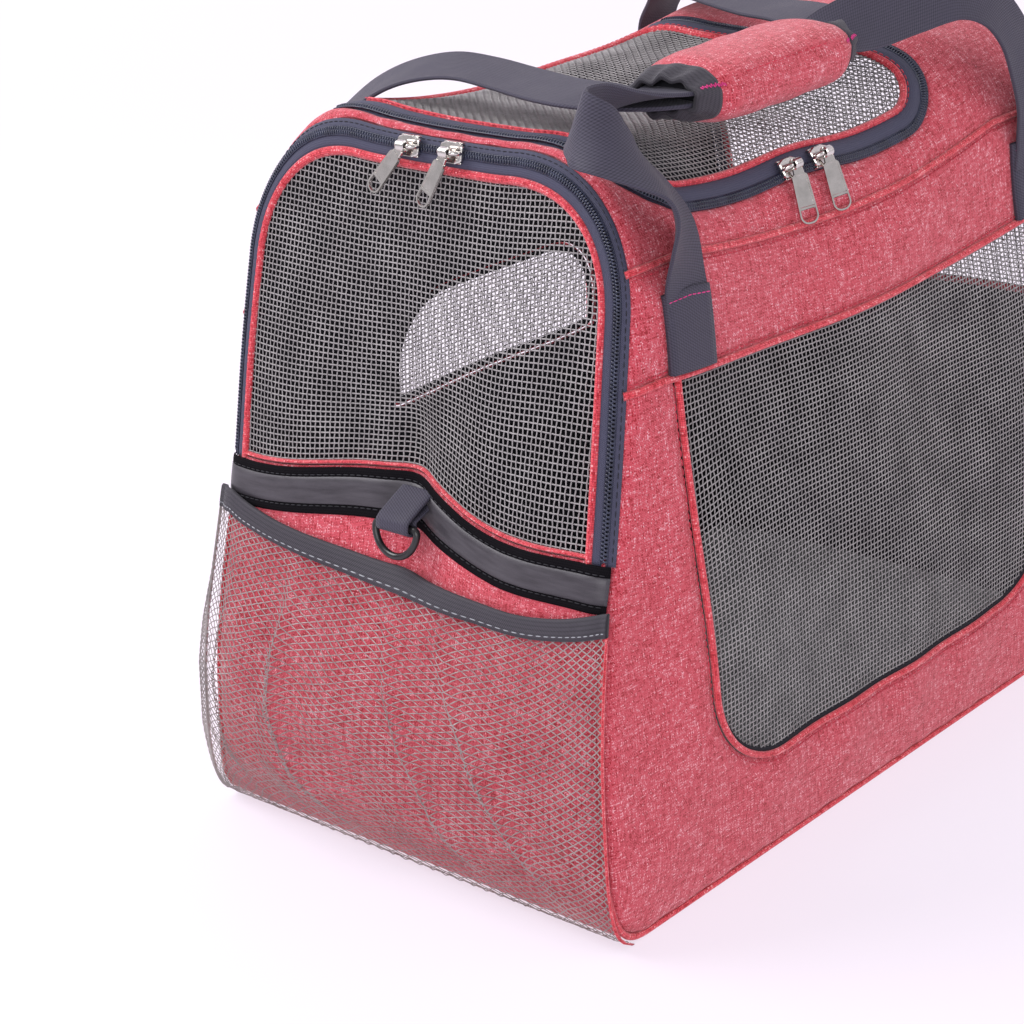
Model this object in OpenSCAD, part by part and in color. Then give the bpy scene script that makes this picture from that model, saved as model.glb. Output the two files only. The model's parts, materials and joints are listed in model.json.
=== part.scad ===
// Soft pet carrier bag: two big mesh end doors, a mesh top flap, side windows,
// a net pocket on the front end, and two webbing handles joined by a padded wrap.
// Millimetres. +Z up, the front (pocket) end faces -X, the big window faces -Y.
// The origin is the middle of the flat base, at floor level.

/* [Body] */
// Length of the flat part of the base
base_length = 340; // [300:10:380]
// Width across the side panels at the floor
base_width = 240; // [220:5:260]
// Height of the crown of the top
body_height = 320; // [310:2:330]
// Radius of the corner where each end meets the floor
heel_radius = 36; // [30:1:42]
// Radius of the slow curve above that corner
belly_radius = 400; // [350:10:500]
// Lean of each end towards the middle, in degrees from upright
end_lean = 12.85; // [11:0.05:14]
// Radius of the long rounded shoulders of the top
shoulder_radius = 65; // [60:1:70]
// Thickness of a padded fabric panel
skin = 3; // [2:0.5:4]

/* [Panels] */
// Height of the seam above the side windows
window_seam_z = 229; // [222:1:236]
// Height of the piped seam where the top starts
top_seam_z = 274; // [270:1:278]
// Height of the fold line of each end door
door_fold_z = 172; // [170:1:174]
// Height of the reflective strip's lower edge
strip_z = 148; // [144:1:149]
// Width of the reflective strip
strip_width = 20; // [16:1:20]
// Distance from the body's edge to the middle of a door's zip
zip_inset = 6; // [5:0.5:8]

/* [Windows] */
// Half length of the near side window
near_window_half = 138; // [120:2:140]
// Lower edge of the near side window
near_window_low = 46; // [40:1:60]
// Radius of the near window's lower corners
near_window_corner = 50; // [30:1:60]
// Half length of the far side window
far_window_half = 74; // [70:1:100]
// Lower edge of the far side window
far_window_low = 155; // [140:1:160]
// Upper edge of the far side window
far_window_top = 209; // [205:1:221]
// Radius of the far window's upper corners
far_window_corner = 40; // [20:1:50]

/* [Top flap] */
// Front end of the top zip
flap_front_x = -140; // [-144:1:-130]
// Rear end of the top zip
flap_rear_x = 80; // [70:1:110]
// Near edge of the top zip
flap_near_y = -97; // [-99:1:-90]
// Sewn fold line of the flap, near the far shoulder
flap_far_y = 80; // [70:1:90]
// Radius of the flap's corners
flap_corner = 30; // [25:1:36]

/* [Handles] */
// Distance of each handle foot from the middle of the bag
foot_x = 130; // [120:1:136]
// Width of the handle webbing
webbing_width = 32; // [25:1:38]
// Length of the padded wrap
wrap_length = 110; // [90:5:130]
// Middle of the wrap along the bag
wrap_x = -45; // [-60:1:-30]
// Middle of the wrap across the bag
wrap_y = -81; // [-90:1:-60]
// Height of the middle of the wrap
wrap_z = 332; // [332:1:340]

/* [Pocket] */
// Height of the pocket's open edge
pocket_top = 140; // [125:1:141]
// How far the net stands out from the end of the bag
pocket_bulge = 16; // [12:1:24]

/* [Zips and rings] */
// Length of a zip pull
pull_length = 26; // [20:1:30]
// Width of a zip pull
pull_width = 8; // [6:0.5:10]
// Radius of the wire of a D-ring
ring_wire = 1.5; // [1.2:0.1:2]
// Mean radius of the round side of a D-ring
ring_radius = 12; // [10:0.5:14]

/* [Hidden] */
$fn = 64;
fit = 0.3;
far = 600;
mesh_front = 1;
mesh_back = 2.2;
side_taper = 0.048;
heel_x = base_length / 2;
belly_x = heel_x + heel_radius - belly_radius;
outline_top = 360;
shoulder_z = body_height - shoulder_radius;
shoulder_y = base_width / 2 - side_taper * shoulder_z - shoulder_radius;
piping = 1.6;
piping_width = 3;
tape_gap = 1;
tape_width = 5;
binding_width = 6;
bottom_rise = 40;
board_half_x = 168;
board_half_y = 108;
board_low = 3.6;
board_thickness = 3;
mat_low = 7.2;
mat_thickness = 12;
mat_corner = 20;
strip_thickness = 1.2;
wire_size = 3;
wire_low = 24;
belly_top = heel_radius + belly_radius * sin(end_lean);
belly_top_x = belly_x + belly_radius * cos(end_lean);
door_fold_x = belly_top_x - (door_fold_z - belly_top) * tan(end_lean);
front_zip_z = (body_height - zip_inset - door_fold_z) / cos(end_lean);
door_slider_y = 12;
slider_length = 12;
slider_width = 9;
slider_plate = 2;
slider_lift = 0.5;
slider_stem = 0.6;
bar_radius = 1;
barrel_radius = 2.4;
barrel_hole = 1.35;
barrel_length = 5;
bar_height = 5.6;
post_y = 4.2;
pull_thickness = 1.4;
pull_slot = 1.8;
top_slider_front_x = -42;
top_slider_rear_x = -20;
top_zip_angle = asin((-flap_near_y - shoulder_y) / shoulder_radius);
top_zip_z = shoulder_z + shoulder_radius * cos(top_zip_angle);
top_pull_tilt = 18;
ring_bar_out = 4.6;
ring_bar_z = 160;
ring_frame_z = (ring_bar_z - door_fold_z) / cos(end_lean);
tab_width = 18;
tab_barrel = 3.2;
tab_hole = 1.85;
tab_height = 9;
webbing = 2;
foot_low = 232;
foot_top = 262;
leg_y = 111.5;
leg_top = 300;
wrap_half = 23;
wrap_round = 13;
wrap_binding = 9;
near_webbing_z = wrap_z + 2;
far_webbing_z = wrap_z - 2;
slot_half_y = 17;
slot_half_z = 4.5;
net = 1;
pocket_low = 6;
pocket_half = 117;
pocket_hem = 10;
pocket_face_x = heel_x + heel_radius;
pocket_radius = (pocket_half * pocket_half + pocket_bulge * pocket_bulge) / (2 * pocket_bulge);

coral = "#c8505a";
grey = "#6d7080";
dark = "#33363f";
mesh_grey = "#8a8784";

// Side view of the body in X and Z, inset by a distance on every side
function heel_arc(inset) = [for (a = [-90:15:0])
    [heel_x + (heel_radius - inset) * cos(a), heel_radius + (heel_radius - inset) * sin(a)]];
function belly_arc(inset) = [for (k = [1:4]) let (a = end_lean * k / 4)
    [belly_x + (belly_radius - inset) * cos(a), heel_radius + (belly_radius - inset) * sin(a)]];
function end_line_top(inset) = let (p = belly_arc(inset)[3])
    [p[0] - (outline_top - p[1]) * tan(end_lean), outline_top];
function half_side(inset) = concat(heel_arc(inset), belly_arc(inset), [end_line_top(inset)]);
function mirrored(points) = [for (k = [len(points) - 1:-1:0]) [-points[k][0], points[k][1]]];

module side_outline(inset) {
    polygon(concat(half_side(inset), mirrored(half_side(inset))));
}

// End view of the body in Y and Z, inset by a distance, from a chosen height up
module cross_outline(inset, low = 0) {
    wide = base_width / 2 - inset;
    polygon([[-wide + side_taper * low, low], [wide - side_taper * low, low],
        [wide - side_taper * shoulder_z, shoulder_z], [-wide + side_taper * shoulder_z, shoulder_z]]);
    for (s = [-1, 1]) translate([s * shoulder_y, shoulder_z]) circle(shoulder_radius - inset);
    translate([-shoulder_y, low]) square([2 * shoulder_y, body_height - inset - low]);
}

module prism_y(width = far) rotate([90, 0, 0]) linear_extrude(width, center = true) children();
module prism_x(length = far) rotate([90, 0, 90]) linear_extrude(length, center = true) children();
module prism_z() linear_extrude(far) children();
module slab(low, high) translate([-far / 2, -far / 2, low]) cube([far, far, high - low]);
module near_half() translate([-far / 2, -far / 2, -1]) cube([far, far / 2, far]);
module front_half() translate([-far / 2, -far / 2, -1]) cube([far / 2, far, far]);

module rounded_rect(low, high, r) {
    size = high - low;
    translate([low[0] + r, low[1]]) square([size[0] - 2 * r, size[1]]);
    translate([low[0], low[1] + r]) square([size[0], size[1] - 2 * r]);
    for (x = [low[0] + r, high[0] - r], y = [low[1] + r, high[1] - r]) translate([x, y]) circle(r);
}

// A layer of the near side wall between two depths and two heights
module side_layer(outer, inner, low, high) {
    difference() {
        intersection() {
            prism_y() side_outline(skin + fit);
            prism_x() cross_outline(outer, -20);
            near_half();
            slab(low, high);
        }
        prism_x() cross_outline(inner, -30);
    }
}

// A layer of the front end wall between two depths, cut to an outline in Y and Z
module end_layer(outer, inner) {
    difference() {
        intersection() {
            prism_y() side_outline(outer);
            prism_x() children();
            front_half();
        }
        prism_y() side_outline(inner);
    }
}

// A layer of the top between two depths, cut to an outline in X and Y
module top_layer(outer, inner) {
    difference() {
        intersection() {
            prism_x() cross_outline(outer);
            prism_y() side_outline(skin + fit);
            slab(top_seam_z + fit, far);
            prism_z() children();
        }
        prism_x() cross_outline(inner, -20);
    }
}

module arch(inset, low) {
    intersection() {
        cross_outline(inset);
        translate([-far / 2, low]) square(far);
    }
}

module near_window(inset) {
    low = [-near_window_half + inset, near_window_low + inset];
    high = [near_window_half - inset, window_seam_z + near_window_corner];
    rounded_rect(low, high, near_window_corner - inset);
}

module far_window(inset) {
    low = [-far_window_half + inset, far_window_low - far_window_corner * 2];
    high = [far_window_half - inset, far_window_top - inset];
    intersection() {
        rounded_rect(low, high, far_window_corner - inset);
        translate([-far / 2, far_window_low + inset]) square(far);
    }
}

module near_side_panel() color(coral) {
    difference() {
        side_layer(0, skin, 0, window_seam_z);
        prism_y() near_window(0);
    }
}

module near_window_mesh() color(mesh_grey) {
    intersection() {
        side_layer(mesh_front, mesh_back, 0, window_seam_z);
        prism_y() near_window(piping_width + fit);
    }
}

module near_window_piping() color(coral) {
    intersection() {
        side_layer(-piping, mesh_back, 0, window_seam_z);
        prism_y() difference() {
            near_window(fit / 2);
            near_window(piping_width);
        }
    }
}

module near_band() color(coral) side_layer(0, skin, window_seam_z + fit, top_seam_z);

module seam_piping(z) color(coral) side_layer(-piping, 0, z, z + piping_width);

module far_side_panel() color(coral) mirror([0, 1, 0]) {
    difference() {
        side_layer(0, skin, 0, window_seam_z);
        prism_y() far_window(0);
    }
}

module far_window_mesh() color(mesh_grey) mirror([0, 1, 0]) {
    intersection() {
        side_layer(mesh_front, mesh_back, 0, window_seam_z);
        prism_y() far_window(piping_width + fit);
    }
}

module far_window_piping() color(coral) mirror([0, 1, 0]) {
    intersection() {
        side_layer(-piping, mesh_back, 0, window_seam_z);
        prism_y() difference() {
            far_window(fit / 2);
            far_window(piping_width);
        }
    }
}

module bottom_panel() color(coral) {
    difference() {
        intersection() {
            prism_y() side_outline(0);
            prism_x() cross_outline(0);
            slab(0, bottom_rise);
        }
        prism_y() side_outline(skin);
    }
}

module base_board() color(dark) {
    translate([-board_half_x, -board_half_y, board_low])
        cube([2 * board_half_x, 2 * board_half_y, board_thickness]);
}

module floor_mat() color("#cfc9c2") translate([0, 0, mat_low]) linear_extrude(mat_thickness) {
    half = [board_half_x - 2, board_half_y - 1];
    rounded_rect(-half, half, mat_corner);
}

module lower_panel() color(coral) end_layer(0, skin) {
    intersection() {
        arch(0, bottom_rise + fit);
        translate([-far / 2, 0]) square([far, door_fold_z - 2 * fit]);
    }
}

module reflective_strip() color("#5a5d66") end_layer(-strip_thickness, 0) {
    intersection() {
        cross_outline(0.5);
        translate([-far / 2, strip_z]) square([far, strip_width]);
    }
}

module opening_tape() color(grey) end_layer(0, skin) {
    difference() {
        arch(0, door_fold_z);
        arch(zip_inset - tape_gap, 0);
    }
}

module door_tape() color(grey) end_layer(0, skin) {
    difference() {
        arch(zip_inset + tape_gap, door_fold_z);
        arch(zip_inset + tape_gap + tape_width, 0);
    }
}

module door_binding() color(coral) end_layer(0, skin) {
    start = zip_inset + tape_gap + tape_width + fit;
    difference() {
        arch(start, door_fold_z + fit);
        arch(start + binding_width, door_fold_z + binding_width);
    }
}

module door_mesh() color(mesh_grey) end_layer(mesh_front, mesh_back) {
    start = zip_inset + tape_gap + tape_width + binding_width + 2 * fit;
    arch(start, door_fold_z + binding_width + fit);
}

module arch_wire() color("silver") end_layer(skin + fit, skin + fit + wire_size) {
    difference() {
        arch(skin + fit, wire_low);
        arch(skin + fit + wire_size, 0);
    }
}

module flap_plan(inset, far_inset) {
    low = [flap_front_x + inset, flap_near_y + inset];
    high = [flap_rear_x - inset, flap_far_y - far_inset];
    rounded_rect(low, high, flap_corner - inset);
}

module top_panel() color(coral) {
    difference() {
        top_layer(0, skin) square(far, center = true);
        prism_z() flap_plan(-tape_gap - tape_width - fit, -2 * fit);
    }
}

module top_opening_tape() color(grey) top_layer(0, mesh_back) {
    difference() {
        flap_plan(-tape_gap - tape_width, 0);
        flap_plan(-tape_gap, -far);
    }
}

module top_flap_tape() color(grey) top_layer(0, mesh_back) {
    difference() {
        flap_plan(tape_gap, 0);
        flap_plan(tape_gap + tape_width, -far);
    }
}

module top_flap_binding() color(coral) top_layer(0, skin) {
    start = tape_gap + tape_width + fit;
    difference() {
        flap_plan(start, fit);
        flap_plan(start + binding_width, binding_width);
    }
}

module top_flap_mesh() color(mesh_grey) top_layer(mesh_front, mesh_back) {
    start = tape_gap + tape_width + binding_width + 2 * fit;
    flap_plan(start, binding_width + fit);
}

// Zip slider in its own frame: +Z out of the fabric, travel along X, zip line at Y = 0
module slider() color("silver") {
    half = [slider_length, slider_width] / 2;
    translate([0, 0, slider_lift]) linear_extrude(slider_plate) rounded_rect(-half, half, 3);
    translate([0, 0, -slider_stem]) linear_extrude(slider_stem + slider_lift + slider_plate / 2)
        square([slider_length - 2, tape_gap], center = true);
    for (s = [-1, 1]) translate([s * post_y - 0.6, -1.2, slider_lift])
        cube([1.2, 2.4, bar_height + 0.8]);
    translate([0, 0, bar_height]) rotate([0, 90, 0]) cylinder(2 * post_y, r = bar_radius, center = true);
}

// Zip pull in the same frame with its bar at the origin, hanging along -Y
module pull() color("silver") {
    difference() {
        union() {
            rotate([0, 90, 0]) cylinder(barrel_length, r = barrel_radius, center = true);
            translate([-pull_width / 2, -pull_length + pull_width / 2, -pull_thickness / 2])
                cube([pull_width, pull_length - pull_width / 2 - barrel_radius, pull_thickness]);
            translate([0, -pull_length + pull_width / 2, 0])
                cylinder(pull_thickness, d = pull_width, center = true);
            translate([-barrel_length / 2, -barrel_radius - 1, -pull_thickness / 2])
                cube([barrel_length, 2, pull_thickness]);
        }
        rotate([0, 90, 0]) cylinder(far, r = barrel_hole, center = true);
        translate([0, -pull_length + pull_width / 2 + 2, 0]) rounded_slot();
    }
}

module rounded_slot() {
    for (s = [-1, 1]) translate([0, s * 2, 0]) cylinder(far, r = pull_slot, center = true);
    cube([2 * pull_slot, 4, far], center = true);
}

// Puts a slider or pull, made with +Z outwards, on the front end's leaning face
module on_front(y, z, out) {
    translate([-door_fold_x, y, door_fold_z]) rotate([0, end_lean, 0])
        translate([-out, 0, z]) rotate([0, -90, 0]) rotate([0, 0, -90]) children();
}

module on_rear(y, z, out) mirror([1, 0, 0]) on_front(y, z, out) children();

module on_top(x, out) {
    translate([x, flap_near_y, top_zip_z]) rotate([top_zip_angle, 0, 0])
        translate([0, 0, out]) children();
}

module top_pull(x) on_top(x, bar_height) rotate([90 - top_zip_angle - top_pull_tilt, 0, 0]) pull();

// D-ring in the frame of the front face: bar along X, hanging along -Y
module d_ring() color("#202226") {
    rotate([0, 90, 0]) cylinder(2 * ring_radius, r = ring_wire, center = true);
    rotate([0, 0, 180]) rotate_extrude(angle = 180) translate([ring_radius, 0]) circle(ring_wire);
    for (s = [-1, 1]) translate([s * ring_radius, 0, 0]) sphere(ring_wire);
}

module ring_tab() color(grey) {
    difference() {
        union() {
            rotate([0, 90, 0]) cylinder(tab_width, r = tab_barrel, center = true);
            translate([-tab_width / 2, 0, strip_thickness - ring_bar_out])
                cube([tab_width, tab_height, webbing]);
        }
        rotate([0, 90, 0]) cylinder(far, r = tab_hole, center = true);
    }
}

module handle_feet() color(grey) intersection() {
    side_layer(-webbing, 0, foot_low, foot_top);
    union() {
        for (s = [-1, 1]) translate([s * foot_x - webbing_width / 2, -far / 2, 0])
            cube([webbing_width, far, far]);
    }
}

module handle_leg(s, top) {
    low = foot_top + fit;
    translate([s * foot_x - webbing_width / 2, -leg_y - webbing / 2, low])
        cube([webbing_width, webbing, top - low]);
}

// Flat webbing that follows a chain of points, seen edge on
function course(points, k) = points[min(k + 1, len(points) - 1)] - points[max(k - 1, 0)];
function square_off(v) = [-v[1], v[0]] / norm(v);
function webbing_side(points, out) = [for (k = [0:len(points) - 1])
    points[k] + out * square_off(course(points, k))];
function reversed(points) = [for (k = [len(points) - 1:-1:0]) points[k]];

module ribbon(points) {
    polygon(concat(webbing_side(points, webbing / 2), reversed(webbing_side(points, -webbing / 2))));
}

far_run = [[leg_y, 296], [107, 316], [94, 329], [72, 333], [20, far_webbing_z],
    [wrap_y - webbing_width / 2 + 1, far_webbing_z]];

module near_handle() color(grey) {
    for (s = [-1, 1]) {
        handle_leg(s, near_webbing_z + webbing / 2);
        translate([s * foot_x - webbing_width / 2, -leg_y - webbing / 2, near_webbing_z - webbing / 2])
            cube([webbing_width, leg_y + wrap_y + webbing_width / 2, webbing]);
    }
    translate([-foot_x, wrap_y - webbing_width / 2, near_webbing_z - webbing / 2])
        cube([2 * foot_x, webbing_width, webbing]);
}

module far_handle() color(grey) {
    for (s = [-1, 1]) {
        mirror([0, 1, 0]) handle_leg(s, leg_top);
        translate([s * foot_x, 0, 0]) prism_x(webbing_width) ribbon(far_run);
    }
    translate([-foot_x, wrap_y - webbing_width / 2, far_webbing_z - webbing / 2])
        cube([2 * foot_x, webbing_width, webbing]);
}

module wrap_section() {
    difference() {
        rounded_rect([-wrap_half, -wrap_round], [wrap_half, wrap_round], wrap_round - 0.01);
        square([2 * slot_half_y, 2 * slot_half_z], center = true);
    }
}

module wrap_piece(length) translate([0, wrap_y, wrap_z]) prism_x(length) wrap_section();

module handle_wrap() color(coral) {
    translate([wrap_x, 0, 0]) wrap_piece(wrap_length - 2 * wrap_binding - 2 * fit);
}

module wrap_bindings() color(grey) {
    for (s = [-1, 1]) translate([wrap_x + s * (wrap_length - wrap_binding) / 2, 0, 0])
        wrap_piece(wrap_binding);
}

// Outer form of the pocket, inset by a distance, between two heights
module pocket_form(inset, low, high) {
    intersection() {
        translate([pocket_radius - pocket_face_x - pocket_bulge, 0, low])
            cylinder(high - low, r = pocket_radius - inset, $fn = 256);
        translate([-far, -pocket_half + inset, low])
            cube([far - heel_x, 2 * (pocket_half - inset), high - low]);
    }
}

module pocket_wall(outer, inner, low, high, floor) {
    difference() {
        pocket_form(outer, low, high);
        pocket_form(inner, low + floor, high + 1);
        prism_y() side_outline(-fit);
    }
}

module pocket_net() color(mesh_grey) pocket_wall(0, net, pocket_low, pocket_top - pocket_hem, net);

module pocket_binding() color(grey) {
    pocket_wall(-net, net, pocket_top - pocket_hem, pocket_top, -1);
}

near_side_panel();
near_window_mesh();
near_window_piping();
near_band();
seam_piping(window_seam_z);  // near_seam_piping
seam_piping(top_seam_z);  // near_top_piping
far_side_panel();
far_window_mesh();
far_window_piping();
mirror([0, 1, 0]) near_band();  // far_band
mirror([0, 1, 0]) seam_piping(window_seam_z);  // far_seam_piping
mirror([0, 1, 0]) seam_piping(top_seam_z);  // far_top_piping
bottom_panel();
base_board();
floor_mat();
lower_panel();  // front_lower_panel
mirror([1, 0, 0]) lower_panel();  // rear_lower_panel
reflective_strip();  // front_reflective_strip
mirror([1, 0, 0]) reflective_strip();  // rear_reflective_strip
opening_tape();  // front_opening_tape
mirror([1, 0, 0]) opening_tape();  // rear_opening_tape
door_tape();  // front_door_tape
door_binding();  // front_door_binding
door_mesh();  // front_door_mesh
mirror([1, 0, 0]) door_tape();  // rear_door_tape
mirror([1, 0, 0]) door_binding();  // rear_door_binding
mirror([1, 0, 0]) door_mesh();  // rear_door_mesh
top_panel();
top_opening_tape();
top_flap_tape();
top_flap_binding();
top_flap_mesh();
on_front(-door_slider_y, front_zip_z, 0) slider();  // front_slider_near
on_front(door_slider_y, front_zip_z, 0) slider();  // front_slider_far
on_rear(-door_slider_y, front_zip_z, 0) slider();  // rear_slider_near
on_rear(door_slider_y, front_zip_z, 0) slider();  // rear_slider_far
on_top(top_slider_front_x, 0) slider();  // top_slider_front
on_top(top_slider_rear_x, 0) slider();  // top_slider_rear
on_front(-door_slider_y, front_zip_z, bar_height) pull();  // front_pull_near
on_front(door_slider_y, front_zip_z, bar_height) pull();  // front_pull_far
on_rear(-door_slider_y, front_zip_z, bar_height) pull();  // rear_pull_near
on_rear(door_slider_y, front_zip_z, bar_height) pull();  // rear_pull_far
top_pull(top_slider_front_x);  // top_pull_front
top_pull(top_slider_rear_x);  // top_pull_rear
on_front(0, ring_frame_z, ring_bar_out) ring_tab();  // front_ring_tab
on_rear(0, ring_frame_z, ring_bar_out) ring_tab();  // rear_ring_tab
on_front(0, ring_frame_z, ring_bar_out) d_ring();  // front_d_ring
on_rear(0, ring_frame_z, ring_bar_out) d_ring();  // rear_d_ring
handle_feet();  // near_handle_feet
mirror([0, 1, 0]) handle_feet();  // far_handle_feet
near_handle();
far_handle();
handle_wrap();
wrap_bindings();
pocket_net();
pocket_binding();
arch_wire();  // front_arch_wire
mirror([1, 0, 0]) arch_wire();  // rear_arch_wire
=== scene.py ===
"""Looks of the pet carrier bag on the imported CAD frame. Lengths are in millimetres until a mesh is made."""

import json
import math

import bmesh
import bpy
import numpy as np
from mathutils import Matrix, Vector


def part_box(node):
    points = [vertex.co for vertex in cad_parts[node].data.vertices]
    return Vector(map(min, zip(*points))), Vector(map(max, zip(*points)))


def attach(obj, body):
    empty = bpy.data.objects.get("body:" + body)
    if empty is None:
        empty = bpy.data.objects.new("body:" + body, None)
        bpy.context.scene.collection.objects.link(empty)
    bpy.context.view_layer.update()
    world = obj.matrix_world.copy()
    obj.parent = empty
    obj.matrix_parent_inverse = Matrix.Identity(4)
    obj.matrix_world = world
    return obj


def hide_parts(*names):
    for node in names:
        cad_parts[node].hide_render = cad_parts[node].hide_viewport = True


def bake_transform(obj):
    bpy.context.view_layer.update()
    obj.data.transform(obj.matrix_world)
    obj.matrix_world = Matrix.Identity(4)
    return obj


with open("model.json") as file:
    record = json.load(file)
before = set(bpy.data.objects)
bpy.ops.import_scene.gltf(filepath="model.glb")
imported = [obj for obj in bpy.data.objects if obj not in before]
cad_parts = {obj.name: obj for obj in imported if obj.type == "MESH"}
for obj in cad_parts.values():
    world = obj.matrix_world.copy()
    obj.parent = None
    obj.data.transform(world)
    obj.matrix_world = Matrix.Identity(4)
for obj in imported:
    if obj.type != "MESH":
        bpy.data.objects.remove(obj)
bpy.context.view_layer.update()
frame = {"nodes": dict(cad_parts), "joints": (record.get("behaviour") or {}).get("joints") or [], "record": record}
MM = 0.001
SLOT_OF = {k["node"]: k["material_slot"] for k in frame["record"]["subparts"]}


def box_of(node):
    """Lowest and highest corner of a CAD node, in millimetres."""
    return [np.array(corner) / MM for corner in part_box(node)]


# ------------------------------------------------------------------ sizes, read from the frame
HALF_WIDTH = -box_of("near_side_panel")[0][1]
CROWN_Z = box_of("top_panel")[1][2]
SEAM_Z, TOP_SEAM_Z = box_of("near_band")[0][2], box_of("near_top_piping")[0][2]
STRIP_LOW, STRIP_HIGH = (box_of("front_reflective_strip")[k][2] for k in (0, 1))
FOLD_Z = box_of("front_door_tape")[0][2]
POCKET_TOP = box_of("pocket_binding")[1][2]
FLAP_LOW, FLAP_HIGH = box_of("top_flap_tape")[0][:2], box_of("top_flap_tape")[1][:2]
WINDOW_LOW, WINDOW_HALF = (
    box_of("near_window_piping")[0][2],
    box_of("near_window_piping")[1][0],
)
FAR_LOW, FAR_HIGH = box_of("far_window_piping")
FOOT_LOW, FOOT_TOP = (box_of("near_handle_feet")[k][2] for k in (0, 1))
HEEL_RADIUS, BELLY_RADIUS = 36, 400
HEEL_X = 170
LEAN = math.radians(12.85)
SIDE_TAPER = 0.048
SHOULDER_RADIUS = 65
SHOULDER_Z = CROWN_Z - SHOULDER_RADIUS
SHOULDER_Y = HALF_WIDTH - SIDE_TAPER * SHOULDER_Z - SHOULDER_RADIUS
BELLY_X = HEEL_X + HEEL_RADIUS - BELLY_RADIUS
HEEL_ARC, BELLY_ARC = HEEL_RADIUS * math.pi / 2, BELLY_RADIUS * LEAN
BELLY_TOP = HEEL_RADIUS + BELLY_RADIUS * math.sin(LEAN)
SIDE_LENGTH = SHOULDER_Z * math.hypot(1, SIDE_TAPER)
SHOULDER_ARC = SHOULDER_RADIUS * math.pi / 2
MIDDLE = SIDE_LENGTH + SHOULDER_ARC + SHOULDER_Y
CORNER = 12
BASE_CORNER = 6
NEAR, FAR, FRONT, REAR = -1, 1, -1, 1


# ------------------------------------------------------------------ the body's form
def smooth(low, high, x):
    t = np.clip((np.asarray(x, float) - low) / (high - low), 0, 1)
    return t * t * (3 - 2 * t)


def unit(v):
    return v / np.maximum(np.linalg.norm(v, axis=-1, keepdims=True), 1e-12)


def vec(*parts):
    return np.stack(np.broadcast_arrays(*[np.asarray(p, float) for p in parts]), -1)


def end_curve(s):
    """Side view of the rear end by length from the floor: x, z and the angle of its outward normal."""
    heel = s < HEEL_ARC
    angle = np.where(
        heel,
        np.maximum(s, 0) / HEEL_RADIUS - math.pi / 2,
        np.clip((s - HEEL_ARC) / BELLY_RADIUS, 0, LEAN),
    )
    past = np.maximum(s - HEEL_ARC - BELLY_ARC, 0)
    x = np.where(
        heel, HEEL_X + HEEL_RADIUS * np.cos(angle), BELLY_X + BELLY_RADIUS * np.cos(angle)
    )
    z = HEEL_RADIUS + np.where(heel, HEEL_RADIUS, BELLY_RADIUS) * np.sin(angle)
    return (
        x + np.minimum(s, 0) - past * math.sin(LEAN),
        z + past * math.cos(LEAN),
        angle,
    )


def end_length(z):
    """Length up the end from the floor to height z."""
    z = np.asarray(z, float)
    heel = HEEL_RADIUS * (
        np.arcsin(np.clip(z / HEEL_RADIUS - 1, -1, 0)) + math.pi / 2
    )
    belly = BELLY_RADIUS * np.arcsin(
        np.clip((z - HEEL_RADIUS) / BELLY_RADIUS, 0, math.sin(LEAN))
    )
    return heel + belly + np.maximum(z - BELLY_TOP, 0) / math.cos(LEAN)


def cross_curve(p):
    """End view of the near half and the far half by length from the near floor edge: y, z and normal."""
    q = np.where(p > MIDDLE, 2 * MIDDLE - p, p)
    side = np.where(p > MIDDLE, 1.0, -1.0)
    turn = np.clip((q - SIDE_LENGTH) / SHOULDER_RADIUS, 0, math.pi / 2)
    up = np.minimum(q, SIDE_LENGTH) / math.hypot(1, SIDE_TAPER)
    flat = np.maximum(q - SIDE_LENGTH - SHOULDER_ARC, 0)
    wide = np.where(
        q < SIDE_LENGTH,
        HALF_WIDTH - SIDE_TAPER * up,
        SHOULDER_Y + SHOULDER_RADIUS * np.cos(turn) - flat,
    )
    z = np.where(q < SIDE_LENGTH, up, SHOULDER_Z + SHOULDER_RADIUS * np.sin(turn))
    return side * wide, z, vec(0 * q, side * np.cos(turn), np.sin(turn))


def cross_length(y):
    """Length round the cross-section to the point of the top above y."""
    over = np.clip((np.abs(y) - SHOULDER_Y) / SHOULDER_RADIUS, 0, 1)
    q = (
        SIDE_LENGTH
        + SHOULDER_RADIUS * np.arccos(over)
        + np.maximum(SHOULDER_Y - np.abs(y), 0)
    )
    return np.where(np.asarray(y) > 0, 2 * MIDDLE - q, q)


def half_width(z):
    over = np.clip((z - SHOULDER_Z) / SHOULDER_RADIUS, 0, 1)
    return np.where(
        z < SHOULDER_Z,
        HALF_WIDTH - SIDE_TAPER * z,
        SHOULDER_Y + SHOULDER_RADIUS * np.sqrt(1 - over**2),
    )


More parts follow.
